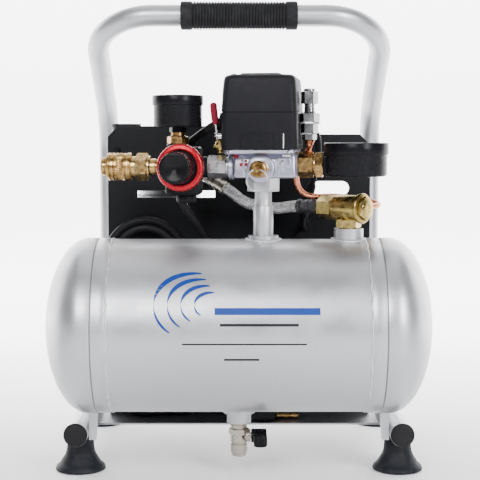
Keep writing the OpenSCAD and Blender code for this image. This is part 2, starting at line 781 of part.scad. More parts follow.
module switch_cover() {
    lo = [cover_x, cover_y, cover_z];
    hi = [cover_x + cover_w, cover_y + cover_d, cover_z + cover_h];
    wall = [cover_wall, cover_wall, 0];
    color([0.13, 0.13, 0.14]) head() difference() {
        union() {
            soft_slab(lo, hi - [0, 0, 20], 5);
            soft_slab(lo + [1, 1, cover_h - 20], hi - [1, 1, 3], 6);
            soft_slab(lo + [3, 3, cover_h - 3], hi - [3, 3, 0], 8);
        }
        soft_slab(lo + wall - [0, 0, 1], hi - wall - [0, 0, 4], 3);
        slab([valve_x - 14, cover_y - 1, cover_z - 1], [valve_x + 12, cover_y + 1, cover_z + 11]);
        rod_x(cover_x - 1, cover_x + 3, 3.1, -5, 268);
        rod_x(cover_x + cover_w - 3, cover_x + cover_w + 1, 3.5, 27, 276);
    }
}
module switch_lever() {
    color([0.42, 0.1, 0.15]) head() {
        rod_x(cover_x - 7, cover_x + 2, 3, -5, 268);
        translate([0, -5, 268]) rotate([-6, 0, 0]) {
            slab([-17.6, -3, 0], [-16, 3, 22]);
            soft_slab([-20.3, -4.5, 10], [-14, 4.5, 27], 2);
        }
    }
}
module unloader_valve() {
    color([0.82, 0.82, 0.84]) row() translate([55, 1, 0]) rotate([0, 0, -head_yaw]) {
        slab([-7.1, -10, 277.5], [8.5, 10, 279]);
        hex_z(279, 286, 12);
        rod_z(286, 293, 4.2);
        hex_z(293, 303, 11.5);
        rod_z(303, 305, 4.5);
        hex_z(270, 277.5, 12);
        hex_z(265, 270, 10);
    }
}

module regulator_nipple() {
    color([0.68, 0.68, 0.7]) head() {
        hex_x(-24.5, -8.3, 16, 0, port_z);
    }
}
module regulator_body() {
    color([0.09, 0.09, 0.1]) head() difference() {
        union() {
            soft_slab([reg_x0, -14, 222], [reg_x1, 12, 260], 3);
            rod_z(260, 262, 9, outlet_gauge_x);
            rod_x(reg_x1 - 1, -24.5, 8.2, 0, port_z);
            rod_y(-20, -13, 16.5, reg_x, port_z);
            rod_y(ring_y0 + 3, -19, reg_neck_r, reg_x, port_z);
            rod_z(216, 223, 8, reg_x);
        }
        rod_y(ring_y0 + 2, -22, 4.2, reg_x, port_z);
    }
}
module lock_ring() {
    color([0.75, 0.1, 0.2]) head() difference() {
        union() {
            rod_y(ring_y0 + 1, ring_y1 - 1, lock_ring_r, reg_x, port_z);
            rod_y(ring_y0, ring_y1, lock_ring_r - 1, reg_x, port_z);
        }
        rod_y(ring_y0 - 1, ring_y1 + 1, reg_neck_r + touch, reg_x, port_z);
    }
}
module regulator_knob() {
    color([0.1, 0.1, 0.11]) head() {
        rod_y(knob_y + 1, ring_y0 + 2.4, knob_r, reg_x, port_z);
        rod_y(knob_y, knob_y + 1, knob_r - 1, reg_x, port_z);
        rod_y(ring_y0 + 2.4, -23, 4.1, reg_x, port_z);
    }
}

module safety_valve_body() {
    color([0.8, 0.68, 0.42]) head() difference() {
        union() {
            hex_y(-24, -17, 13);
            rod_y(-37, -24, 6.5, valve_x, valve_z);
            rod_y(-17, -8, 5, valve_x, valve_z);
        }
        rod_y(-38, -29, 2.6, valve_x, valve_z);
    }
}
module hex_y(y0, y1, af) {
    translate([valve_x, y1, valve_z]) rotate([90, 0, 0]) cylinder(h = y1 - y0, r = hex_r(af), $fn = 6);
}
module safety_stem() {
    color([0.85, 0.74, 0.5]) head() difference() {
        union() {
            rod_y(safety_y - 3, -33, 2.5, valve_x, valve_z);
        }
        rod_x(valve_x - 4, valve_x + 4, 1.15, safety_y, valve_z);
    }
}
module pull_ring() {
    color([0.8, 0.8, 0.82]) head() translate([valve_x, safety_y, valve_z - ring_r]) rotate([90, 0, 0])
        rotate_extrude() translate([ring_r, 0]) circle(ring_wire, $fn = 24);
}

module gauge_fittings() {
    color([0.75, 0.6, 0.35]) head() {
        hex_x(manifold_x1, 61, 18, 0, gauge_port_z);
        rod_x(61, 63, 6, 0, gauge_port_z);
        hex_z(262, 268, 15, outlet_gauge_x);
        rod_z(268, 271, 6, outlet_gauge_x);
    }
}

// Round case, open on top, from z0 up to the bezel's top
module gauge_case(x, z0, z1, r, bezel) {
    difference() {
        union() {
            rod_z(z0, z1 - bezel, r - 1, x);
            rod_z(z1 - bezel, z1 - 1, r, x);
            rod_z(z1 - 1, z1, r - 0.8, x);
        }
        rod_z(z0 + 3, z1 + 1, r - 2.5, x);
    }
}
module tank_gauge_case() {
    color([0.12, 0.12, 0.13]) head() {
        gauge_case(tank_gauge_x, tank_gauge_z, tank_gauge_z + 26, tank_gauge_r, 9.5);
        difference() {
            slab([63, -8, gauge_port_z - 8], [68.5, 8, gauge_port_z + 8]);
            rod_z(200, 300, tank_gauge_r - 1, tank_gauge_x);
        }
    }
}
module outlet_gauge_case() {
    color([0.12, 0.12, 0.13]) head() {
        gauge_case(outlet_gauge_x, outlet_gauge_z, outlet_gauge_z + 25, outlet_gauge_r, 8);
        hex_z(271, outlet_gauge_z, 12, outlet_gauge_x);
    }
}
// Heights inside the cases: a dial, a needle above it, and a lens above that
function dial_z(top) = top - 7;
tank_gauge_top = tank_gauge_z + 26;
outlet_gauge_top = outlet_gauge_z + 25;
module gauge_parts(r_tank, r_outlet, below, thick) {
    rod_z(tank_gauge_top - below, tank_gauge_top - below + thick, r_tank, tank_gauge_x);
    rod_z(outlet_gauge_top - below, outlet_gauge_top - below + thick, r_outlet, outlet_gauge_x);
}
module gauge_dials() {
    color("white") head() gauge_parts(tank_gauge_r - 2.5, outlet_gauge_r - 2.5, 7, 1);
}
module gauge_lenses() {
    color([0.9, 0.95, 1, 0.3]) head() gauge_parts(tank_gauge_r - 2.5, outlet_gauge_r - 2.5, 2.5, 1.5);
}
module needle(x, top, r) {
    translate([x, 0, dial_z(top) + 1.6]) rotate([0, 0, -135]) {
        rod_z(-0.3, 1.6, 2);
        translate([0, -0.6, 0]) cube([r - 7, 1.2, 0.6]);
        translate([-5, -0.9, 0]) cube([5, 1.8, 0.6]);
    }
}
module tank_needle() { color("red") head() needle(tank_gauge_x, tank_gauge_top, tank_gauge_r); }
module outlet_needle() { color("red") head() needle(outlet_gauge_x, outlet_gauge_top, outlet_gauge_r); }

module coupler_body() {
    color([0.8, 0.7, 0.45]) head() difference() {
        union() {
            rod_x(coupler_mouth_x, sleeve_x0 + 2, coupler_tube_r - 0.8, 0, port_z);
            rod_x(sleeve_x0 + 2, coupler_hex_x, coupler_tube_r, 0, port_z);
            hex_x(coupler_hex_x, -70.5, 19, 0, port_z);
            rod_x(-70.5, reg_x0, 6.5, 0, port_z);
        }
        rod_x(coupler_mouth_x - 1, -95, socket_r, 0, port_z);
    }
}
module coupler_sleeve() {
    x1 = coupler_hex_x - sleeve_travel - 0.3;
    color([0.82, 0.72, 0.47]) head() difference() {
        union() {
            rod_x(sleeve_x0, x1, sleeve_r - 0.5, 0, port_z);
            for (i = [0 : 4]) rod_x(sleeve_x0 + 1 + 2.6 * i, sleeve_x0 + 2.6 + 2.6 * i, sleeve_r, 0, port_z);
        }
        rod_x(sleeve_x0 - 1, x1 + 1, coupler_tube_r + touch, 0, port_z);
    }
}

// ---- Leads and cord --------------------------------------------------------

module motor_lead() { color([0.08, 0.08, 0.08]) row() sweep(smooth(lead_route, 2), lead_d / 2, 10); }

module cord_gland() {
    color([0.1, 0.1, 0.1]) row() difference() {
        union() {
            translate([-13, 13.3, 281]) rotate([0, 0, -head_yaw]) rod_x(-2, 6, 5.6);
            tapered(cord_in_route[0], [-7, 12, 282], cord_d / 2 + 0.2, 4.8);
        }
        translate([0, mid_y, 0]) head() slab([cover_x, cover_y, cover_z], [cover_x + 50, 60, cover_z + 50]);
    }
}
// Cone between two points
module tapered(a, b, ra, rb) {
    d = b - a;
    translate(a) rotate([0, acos(d[2] / norm(d)), atan2(d[1], d[0])]) cylinder(h = norm(d), r1 = ra, r2 = rb);
}
module cord_run() {
    color([0.1, 0.1, 0.1]) row() {
        sweep(smooth(cord_in_route, 2), cord_d / 2, 10);
        sweep(smooth(cord_out_route, 2), cord_d / 2, 10);
    }
}
module cord_hank() {
    z0 = deck_top + hank_r;
    color([0.1, 0.1, 0.1]) row() difference() {
        union() {
            for (z = [z0, z0 + hank_run]) rod_y(hank_y0, hank_y0 + hank_thick, hank_r, hank_x, z);
            slab([hank_x - hank_r, hank_y0, z0], [hank_x + hank_r, hank_y0 + hank_thick, z0 + hank_run]);
        }
        slab([cord_in_route[len(cord_in_route) - 1][0], hank_y0 + cord_d, 0], [0, 200, z0 - hank_r + cord_d + 1]);
    }
}
module cord_plug() {
    color([0.1, 0.1, 0.1]) row() {
        soft_slab([plug_x + 10, plug_y - 12, deck_top], [plug_x + 40, plug_y + 12, deck_top + 17.6], 4);
        rod_x(plug_x, plug_x + 10, cord_d / 2 + 1.7, plug_y, plug_z);
        for (y = [-6.4, 6.4])
            slab([plug_x + 40, plug_y + y - 0.8, plug_z + 1], [plug_x + 56.5, plug_y + y + 0.8, plug_z + 7.2]);
        rod_x(plug_x + 40, plug_x + 58.4, 2.4, plug_y, plug_z - 4);
    }
}

tank_shell();
tank_heads();
tank_bosses();
frame_tube();
frame_plugs();
handle_grip();
rubber_feet();
foot_screws();
tank_brackets();
pump_deck();
deck_isolators();
front_panel();
crankcase();
pump_cylinder();
cylinder_head();
head_bolts();
intake_filter();
motor_housing();
stator();
rotor();
shaft_bearings();
crank();
con_rod();
piston();
cooling_fan();
fan_cover();
run_capacitor();
discharge_hose();
hose_ferrules();
check_valve_body();
check_valve_cap();
unloader_tube();
unloader_valve();
riser_pipe();
manifold();
switch_cover();
switch_lever();
regulator_nipple();
regulator_body();
lock_ring();
regulator_knob();
safety_valve_body();
safety_stem();
pull_ring();
gauge_fittings();
tank_gauge_case();
outlet_gauge_case();
gauge_dials();
gauge_lenses();
tank_needle();
outlet_needle();
coupler_body();
coupler_sleeve();
drain_valve();
drain_handle();
motor_lead();
cord_gland();
cord_run();
cord_hank();
cord_plug();
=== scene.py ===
"""Airbrush compressor: the looks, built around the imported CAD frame.

Lengths in the tables below are in millimetres, in the tank's own system: X along the tank, Y to the
back from the tank's axis, Z up from the floor. ROW and HEAD turn them into metres in the frame.
"""
import json
import math
import random

import bmesh
import bpy
from mathutils import Matrix, Vector, noise


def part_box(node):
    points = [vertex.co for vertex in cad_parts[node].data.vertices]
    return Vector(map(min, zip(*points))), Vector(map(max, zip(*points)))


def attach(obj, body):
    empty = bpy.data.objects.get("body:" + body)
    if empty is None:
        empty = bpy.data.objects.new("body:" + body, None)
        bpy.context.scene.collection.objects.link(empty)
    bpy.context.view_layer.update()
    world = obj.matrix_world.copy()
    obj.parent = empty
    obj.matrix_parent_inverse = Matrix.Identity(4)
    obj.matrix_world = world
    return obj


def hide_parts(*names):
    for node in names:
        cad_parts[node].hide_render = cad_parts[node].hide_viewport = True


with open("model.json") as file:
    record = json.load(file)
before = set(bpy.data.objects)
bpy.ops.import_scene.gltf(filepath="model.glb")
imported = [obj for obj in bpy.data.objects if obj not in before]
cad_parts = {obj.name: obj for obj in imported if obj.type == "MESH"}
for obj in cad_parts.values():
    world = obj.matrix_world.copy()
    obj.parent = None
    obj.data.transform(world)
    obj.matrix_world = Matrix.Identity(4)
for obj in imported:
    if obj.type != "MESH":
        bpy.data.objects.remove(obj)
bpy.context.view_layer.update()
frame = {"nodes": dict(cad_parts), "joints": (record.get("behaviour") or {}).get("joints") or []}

NODES = frame["nodes"]
JOINTS = {j["name"]: j for j in frame["joints"]}
MM = 0.001
X, Y, Z = (1, 0, 0), (0, 1, 0), (0, 0, 1)
rng = random.Random(7)

# ---- Places, read from the frame -------------------------------------------

shell_lo, shell_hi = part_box("tank_shell")
TANK = (shell_lo + shell_hi) / 2
TANK_R = (shell_hi.z - shell_lo.z) / 2
RISER = (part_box("riser_pipe")[0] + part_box("riser_pipe")[1]) / 2
HEAD_X = Vector(JOINTS["lever_flip"]["axis"])
HEAD_TURN = math.atan2(HEAD_X.y, HEAD_X.x)

# The tank's own system, and the switch head's, turned about the riser
ROW = Matrix.Translation((0, TANK.y, 0)) @ Matrix.Scale(MM, 4)
TO_RISER = Matrix.Translation((RISER.x, RISER.y, 0))
HEAD = (TO_RISER @ Matrix.Rotation(HEAD_TURN, 4, "Z") @ Matrix.Translation((-RISER.x, 0, 0))
        @ Matrix.Scale(MM, 4))


# ---- Camera, floor and light -----------------------------------------------

CAMERA_BACK = 0.95       # from the tank's axis to the camera
CAMERA_HEIGHT = 0.265
AIM_HEIGHT = 0.1868      # height that the middle of the picture shows at the tank's axis
CAMERA_X = 0.0008
LENS = 91
SENSOR = 36
FILL = 0.15              # the world's strength as a light
BACKDROP = 1.5           # the world's strength as the camera sees it
# The floor's glow is kept low beneath and in front of the compressor as painted shade under it
GLOW_PLACES = (-0.08, 0.6)    # between these two places along Y,
FLOOR_GLOW = (0.12, 4.5)      # the light that the floor gives off goes from one of these to the other


def make_camera():
    data = bpy.data.cameras.new("camera")
    data.lens = LENS
    data.sensor_width = SENSOR
    cam = bpy.data.objects.new("camera", data)
    bpy.context.scene.collection.objects.link(cam)
    cam.location = (CAMERA_X, TANK.y - CAMERA_BACK, CAMERA_HEIGHT)
    aim = Vector((CAMERA_X, TANK.y, AIM_HEIGHT)) - cam.location
    cam.rotation_euler = aim.to_track_quat("-Z", "Y").to_euler()
    bpy.context.scene.camera = cam


def area_light(name, place, size, power):
    data = bpy.data.lights.new(name, "AREA")
    data.shape = "RECTANGLE"
    data.size, data.size_y = size
    data.energy = power
    lamp = bpy.data.objects.new(name, data)
    bpy.context.scene.collection.objects.link(lamp)
    lamp.location = place
    aim = Vector((0, 0, 0.18)) - Vector(place)
    lamp.rotation_euler = aim.to_track_quat("-Z", "Y").to_euler()


def make_lights():
    area_light("front_left", (-0.4, -1.4, 0.95), (0.7, 0.6), 24)
    area_light("front_right", (0.85, -1.2, 0.7), (0.4, 0.7), 24)
    area_light("overhead", (0, 0.1, 1.5), (1.4, 1.0), 7)
    world = bpy.data.worlds.new("studio")
    world.use_nodes = True
    tree = world.node_tree
    background = tree.nodes["Background"]
    background.inputs["Color"].default_value = (0.95, 0.96, 0.98, 1)
    strength = tree.nodes.new("ShaderNodeMapRange")
    strength.inputs["To Min"].default_value = FILL
    strength.inputs["To Max"].default_value = BACKDROP
    tree.links.new(tree.nodes.new("ShaderNodeLightPath").outputs["Is Camera Ray"], strength.inputs["Value"])
    tree.links.new(strength.outputs["Result"], background.inputs["Strength"])
    bpy.context.scene.world = world


def make_floor():
    """White paper under the compressor that curves up behind it, lit from within and brighter to the back.
    Its weaker glow beneath and in front of the compressor is painted shade that darkens the tank's underside.
    """
    side, front, back, bend, rise, steps = 6.0, -6.0, 1.4, 0.6, 3.2, 12
    curve = [math.radians(90 * k / steps) for k in range(1, steps + 1)]
    section = [(front, 0.0), (back, 0.0)]
    section += [(back + bend * math.sin(a), bend * (1 - math.cos(a))) for a in curve] + [(back + bend, rise)]
    verts = [(x, y, z) for y, z in section for x in (-side, side)]
    faces = [(2 * i, 2 * i + 1, 2 * i + 3, 2 * i + 2) for i in range(len(section) - 1)]
    mesh = bpy.data.meshes.new("floor")
    mesh.from_pydata(verts, [], faces)
    mesh.polygons.foreach_set("use_smooth", [True] * len(mesh.polygons))
    floor = bpy.data.objects.new("floor", mesh)
    bpy.context.scene.collection.objects.link(floor)
    floor.location.z = -0.0004
    n = Nodes("floor_paper")
    n.put("Base Color", (0.9, 0.9, 0.9, 1))
    n.put("Roughness", 0.7)
    n.put("Emission Color", (1, 1, 1, 1))
    place = n.tree.nodes.new("ShaderNodeSeparateXYZ")
    n.link(n.coords, place.inputs["Vector"])
    n.feed("Emission Strength", n.scaled(place.outputs["Y"], *FLOOR_GLOW, *GLOW_PLACES))
    mesh.materials.append(n.mat)


# ---- Mesh tools ------------------------------------------------------------

def new_piece(name, shape, material, angle=None, body="base", smooth=True):
    """A mesh piece in the row frame, riding on a CAD body; shape is (verts, faces)."""
    verts, faces = shape
    mesh = bpy.data.meshes.new(name)
    mesh.from_pydata([tuple(v) for v in verts], [], faces)
    mesh.update()
    piece = bpy.data.objects.new(name, mesh)
    bpy.context.scene.collection.objects.link(piece)
    mesh.materials.append(material)
    if smooth:
        mesh.polygons.foreach_set("use_smooth", [True] * len(mesh.polygons))
        if angle is not None:
            mesh.set_sharp_from_angle(angle=math.radians(angle))
    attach(piece, body)
    return piece


def lathe_mesh(profile, place, steps=72, closed=False):
    """Turns [(radius, height)] about the local Z axis. Points with radius 0 become a single point."""
    verts, faces, rings = [], [], []
    for r, h in profile:
        if r < 1e-9:
            rings.append([len(verts)])
            verts.append(place @ Vector((0, 0, h)))
        else:
            rings.append(list(range(len(verts), len(verts) + steps)))
            for k in range(steps):
                a = 2 * math.pi * k / steps
                verts.append(place @ Vector((r * math.cos(a), r * math.sin(a), h)))
    pairs = list(zip(rings, rings[1:]))
    if closed:
        pairs.append((rings[-1], rings[0]))
    for low, high in pairs:
        for k in range(steps):
            j = (k + 1) % steps
            if len(low) == 1 and len(high) == 1:
                continue
            if len(low) == 1:
                faces.append((low[0], high[j], high[k]))
            elif len(high) == 1:
                faces.append((low[k], low[j], high[0]))
            else:
                faces.append((low[k], low[j], high[j], high[k]))
    return verts, faces


def joined(*parts):
    """Several (verts, faces) as one."""
    verts, faces = [], []
    for v, f in parts:
        start = len(verts)
        verts += v
        faces += [tuple(i + start for i in face) for face in f]
    return verts, faces


def sides_of(path):
    """Unit directions across a path, turning as little as possible along it."""
    out, n = [], Vector((0.3, 0.4, 1))
    for i in range(len(path)):
        t = (path[min(i + 1, len(path) - 1)] - path[max(i - 1, 0)]).normalized()
        n = (n - n.dot(t) * t).normalized()
        out.append((n.copy(), t.cross(n)))
    return out


def between(rings, n):
    """Faces that join rings of n points each, one after another."""
    return [(i * n + k, i * n + (k + 1) % n, (i + 1) * n + (k + 1) % n, (i + 1) * n + k)
            for i in range(rings - 1) for k in range(n)]


def ends(rings, n):
    """Faces that close the first ring and the last."""
    return [tuple(reversed(range(n))), tuple(range((rings - 1) * n, rings * n))]


def tube_mesh(path, radius, sides=16, caps=True):
    """Round tube along a path; radius is one number or one for each point."""
    radii = radius if isinstance(radius, list) else [radius] * len(path)
    verts = []
    for p, (n, b), r in zip(path, sides_of(path), radii):
        for k in range(sides):
            a = 2 * math.pi * k / sides
            verts.append(p + r * (math.cos(a) * n + math.sin(a) * b))
    return verts, between(len(path), sides) + (ends(len(path), sides) if caps else [])


def smooth_route(points, steps, place=None):
    """The same curve through a route's points as the CAD model's."""
    p = [Vector(q) for q in points]
    out = []
    for i in range(len(p) - 1):
        a, b, c, d = p[max(i - 1, 0)], p[i], p[i + 1], p[min(i + 2, len(p) - 1)]
        for k in range(steps):
            t = k / steps
            out.append(0.5 * (2 * b + (c - a) * t + (2 * a - 5 * b + 4 * c - d) * t * t
                              + (3 * b - a - 3 * c + d) * t ** 3))
    out.append(p[-1])
    return [place @ q for q in out] if place else out


def turn_to(axis, place, base):
    """Matrix that puts a lathe's Z axis along axis, with its origin at place, in the base system."""
    return base @ (Matrix.Translation(place) @ Vector(axis).to_track_quat("Z", "Y").to_matrix().to_4x4())


def turned(name, axis, place, profile, material, base=None, steps=64, angle=32, closed=False):
    """A piece turned about an axis; profile is [(radius, distance along the axis)]."""
    return new_piece(name, lathe_mesh(profile, turn_to(axis, place, base or ROW), steps, closed), material,
                     angle)


def rounded_box(lo, hi, radius, segments=3, place=None):
    """Box with rounded edges between two corners."""
    bm = bmesh.new()
    bmesh.ops.create_cube(bm, size=1)
    for v in bm.verts:
        v.co = [(lo[i] + hi[i]) / 2 + v.co[i] * (hi[i] - lo[i]) for i in range(3)]
    bmesh.ops.bevel(bm, geom=list(bm.edges), offset=radius, segments=segments, profile=0.5, affect="EDGES",
                    clamp_overlap=True)
    place = place or ROW
    bm.verts.index_update()
    verts = [place @ v.co for v in bm.verts]
    faces = [tuple(v.index for v in f.verts) for f in bm.faces]
    bm.free()
    return verts, faces


def boxes(place, *rows):
    """Several rounded boxes: rows are (low corner, high corner, radius, segments)."""
    return [rounded_box(*row, place) for row in rows]


def hex_mesh(low, high, flats, place, phase=0.0, crown=0.96):
    """Hexagonal bar between two heights, with its corners turned off at both ends as on a machined nut."""
    steps, inner, verts = 48, flats / 2 * crown, []
    for end, side in ((low, 0), (low, 1), (high, -1), (high, 0)):
        for k in range(steps):
            a = 2 * math.pi * k / steps
            corner = (math.degrees(a) + phase) % 60 - 30
            wide = flats / 2 / math.cos(math.radians(corner))
            r = wide if side else inner
            h = end + side * ((wide - inner) * 0.5 + 0.02)
            verts.append(place @ Vector((r * math.cos(a), r * math.sin(a), h)))
    return verts, ends(4, steps) + between(4, steps)


def loft_mesh(sections, place, corner=5):
    """Closed body through rounded rectangles: sections are (height, x0, x1, y0, y1, corner radius)."""
    verts, n = [], 4 * (corner + 1)
    for h, x0, x1, y0, y1, r in sections:
        r = min(r, (x1 - x0) / 2 - 0.01, (y1 - y0) / 2 - 0.01)
        for cx, cy, start in ((x1 - r, y1 - r, 0), (x0 + r, y1 - r, 90), (x0 + r, y0 + r, 180),
                              (x1 - r, y0 + r, 270)):
            for k in range(corner + 1):
                a = math.radians(start + 90 * k / corner)
                verts.append(place @ Vector((cx + r * math.cos(a), cy + r * math.sin(a), h)))
    return verts, between(len(sections), n) + ends(len(sections), n)


def block(xs, ys, low, steps, radius, place, corner=5):
    """Loft whose outline draws in by d at each height h above low: steps are (h, d)."""
    return loft_mesh([(low + h, xs[0] + d, xs[1] - d, ys[0] + d, ys[1] - d, radius) for h, d in steps], place,
                     corner)


def fluted(mesh, place, count, depth, low, high):
    """Cuts flutes along a turned mesh between two heights."""
    verts, faces = mesh
    back = place.inverted()
    out = []
    for v in verts:
        p = back @ v
        r = math.hypot(p.x, p.y)
        if low <= p.z <= high and r > 1e-6:
            cut = depth * (0.5 + 0.5 * math.cos(count * math.atan2(p.y, p.x))) ** 2
            p.x, p.y = p.x * (r - cut) / r, p.y * (r - cut) / r
        out.append(place @ p)
    return out, faces


def screw_mesh(place, radius, height):
    """Pan head with a cross recess, standing on the place's XY plane."""
    head = lathe_mesh([(0, height * 0.55), (radius * 0.3, height * 0.55), (radius * 0.42, height * 0.98),
                       (radius * 0.7, height * 0.8), (radius * 0.95, height * 0.35), (radius, 0)], place, 24)
    cross = [rounded_box((-a, -b, height * 0.5), (a, b, height * 0.62), 0.02, 1, place)
             for a, b in ((radius * 0.36, radius * 0.09), (radius * 0.09, radius * 0.36))]
    return joined(head, *cross)


# ---- Materials -------------------------------------------------------------

class Nodes:
    """A small helper round one material's node tree."""

    def __init__(self, name):
        self.mat = bpy.data.materials.new(name)
        self.mat.use_nodes = True
        self.tree = self.mat.node_tree
        self.shader = self.tree.nodes["Principled BSDF"]
        self.coords = self.tree.nodes.new("ShaderNodeTexCoord").outputs["Object"]
        self.height = None

    def link(self, out, socket):
        self.tree.links.new(out, socket)

    def put(self, name, value):
        self.shader.inputs[name].default_value = value

    def feed(self, name, out):
        self.link(out, self.shader.inputs[name])

    def rough(self, fac, low, high):
        self.feed("Roughness", self.scaled(fac, low, high))

    def tones(self, fac, color, low, high):
        """A colour that goes with fac from low to high times itself."""
        return self.ramp(fac, [(0.3, shade(color, low)), (0.7, shade(color, high))])

    def noise(self, scale, detail=3.0, rough=0.5):
        node = self.tree.nodes.new("ShaderNodeTexNoise")
        node.inputs["Scale"].default_value = scale
        node.inputs["Detail"].default_value = detail
        node.inputs["Roughness"].default_value = rough
        self.link(self.coords, node.inputs["Vector"])
        return node.outputs["Fac"]

    def spots(self, scale):
        node = self.tree.nodes.new("ShaderNodeTexVoronoi")
        node.inputs["Scale"].default_value = scale
        self.link(self.coords, node.inputs["Vector"])
        return node.outputs["Distance"]

    def ramp(self, fac, stops):
        """Colours by place: stops are (place, colour)."""
        node = self.tree.nodes.new("ShaderNodeValToRGB")
        elements = node.color_ramp.elements
        while len(elements) < len(stops):
            elements.new(0.5)
        for element, (place, color) in zip(elements, stops):
            element.position = place
            element.color = (*color, 1)
        self.link(fac, node.inputs["Fac"])
        return node.outputs["Color"]

    def scaled(self, fac, low, high, from_low=0.3, from_high=0.7):
        node = self.tree.nodes.new("ShaderNodeMapRange")
        for socket, value in (("From Min", from_low), ("From Max", from_high), ("To Min", low),
                              ("To Max", high)):
            node.inputs[socket].default_value = value
        self.link(fac, node.inputs["Value"])
        return node.outputs["Result"]

    def mix(self, fac, a, b):
        node = self.tree.nodes.new("ShaderNodeMix")
        node.data_type = "RGBA"
        self.link(fac, node.inputs[0])
        for out, socket in ((a, node.inputs[6]), (b, node.inputs[7])):
            if isinstance(out, tuple):
                socket.default_value = (*out, 1)
            else:
                self.link(out, socket)
        return node.outputs[2]

    def bump(self, fac, strength, distance):
        """Adds a height to the surface, on top of those added before."""
        node = self.tree.nodes.new("ShaderNodeBump")
        node.inputs["Strength"].default_value = strength
        node.inputs["Distance"].default_value = distance
        self.link(fac, node.inputs["Height"])
        if self.height:
            self.link(self.height, node.inputs["Normal"])
        self.height = node.outputs["Normal"]
        self.link(self.height, self.shader.inputs["Normal"])

    def edges(self):
        """How sharply the surface bends outwards, from 0 to 1."""
        geometry = self.tree.nodes.new("ShaderNodeNewGeometry")
        return self.scaled(geometry.outputs["Pointiness"], 0, 1, 0.52, 0.6)


def shade(color, k):
    return tuple(min(1.0, c * k) for c in color)


def finish_material(name, color, rough, metal=0.0, vary=0.12, size=40, grain=900, grain_height=0.00003,
                    wear=None, coat=0.0, specular=0.5, rough_vary=0.2):
    """Colour that drifts, roughness that varies, a fine grain, and wear on the edges if asked."""
    n = Nodes(name)
    tone = n.tones(n.noise(size, 4), color, 1 - vary, 1 + vary)
    if wear:
        patchy = n.noise(size * 6, 3)
        worn = n.tree.nodes.new("ShaderNodeMath")
        worn.operation = "MULTIPLY"
        n.link(n.edges(), worn.inputs[0])
        n.link(n.scaled(patchy, 0.0, 0.8), worn.inputs[1])
        tone = n.mix(worn.outputs["Value"], tone, wear)
    n.feed("Base Color", tone)
    n.rough(n.noise(size * 3, 3), rough * (1 - rough_vary), rough * (1 + rough_vary))
    n.put("Metallic", metal)
    n.put("Specular IOR Level", specular)
    n.put("Coat Weight", coat)
    n.put("Coat Roughness", 0.08)
    n.bump(n.noise(grain, 2), 0.5, grain_height)
    return n.mat


def silver_paint():
    n = Nodes("silver_paint")
    cloud = n.noise(9, 3)
    flake = n.noise(3800, 1, 0.8)
    tone = n.ramp(cloud, [(0.3, (0.42, 0.425, 0.45)), (0.7, (0.47, 0.475, 0.5))])
    glint = n.ramp(flake, [(0.42, (0.34, 0.345, 0.36)), (0.62, (0.6, 0.605, 0.63))])
    n.feed("Base Color", n.mix(n.scaled(flake, 0.15, 0.5), tone, glint))
    n.rough(n.noise(60, 4), 0.34, 0.46)
    n.put("Metallic", 0.8)
    n.put("Coat Weight", 0.2)
    n.put("Coat Roughness", 0.12)
    n.bump(n.noise(420, 2), 0.25, 0.00006)
    n.bump(flake, 0.12, 0.00001)
    return n.mat


def weld_paint():
    n = Nodes("weld_paint")
    n.feed("Base Color", n.ramp(n.noise(160, 4), [(0.3, (0.44, 0.45, 0.47)), (0.72, (0.66, 0.67, 0.69))]))
    n.rough(n.noise(300, 4), 0.36, 0.6)
    n.put("Metallic", 0.6)
    n.bump(n.noise(700, 3), 0.5, 0.0002)
    return n.mat


def brushed(name, color, rough, size=60, vary=0.1, wear=None):
    """Machined metal, with fine lines from the tool."""
    return finish_material(name, color, rough, 1.0, vary, size, 1500, 0.00001, wear, rough_vary=0.3)


def cast_metal(name, color, rough):
    n = Nodes(name)
    n.feed("Base Color", n.tones(n.noise(120, 5), color, 0.86, 1.08))
    n.rough(n.noise(260, 3), rough * 0.8, rough * 1.3)
    n.put("Metallic", 0.9)
    n.bump(n.noise(900, 3), 0.45, 0.00012)
    return n.mat


def textured_plastic(name, color, rough, grain=1500, height=0.00008):
    n = Nodes(name)
    n.feed("Base Color", n.tones(n.noise(35, 4), color, 1 - 0.15, 1 + 0.15))
    n.rough(n.noise(200, 3), rough * 0.85, rough * 1.2)
    n.put("Specular IOR Level", 0.09)
    n.bump(n.spots(grain), 0.35, height)
    n.bump(n.noise(grain * 1.7, 2), 0.3, height)
    return n.mat


def moulded_rubber(name, color, rough):
    n = Nodes(name)
    dust = n.noise(90, 6, 0.65)
    clean = n.tones(n.noise(25, 3), color, 0.85, 1.2)
    n.feed("Base Color", n.mix(n.scaled(dust, 0.0, 0.16, 0.5, 0.75), clean, (0.11, 0.11, 0.115)))
    n.rough(dust, rough * 0.85, rough * 1.25)
    n.put("Specular IOR Level", 0.12)
    n.bump(n.noise(1300, 3), 0.4, 0.00008)
    return n.mat


def clear_lens():
    n = Nodes("gauge_lens")
    n.put("Base Color", (0.93, 0.96, 1.0, 1))
    n.put("Transmission Weight", 1.0)
    n.put("IOR", 1.3)
    n.rough(n.noise(70, 3), 0.01, 0.06)
    return n.mat


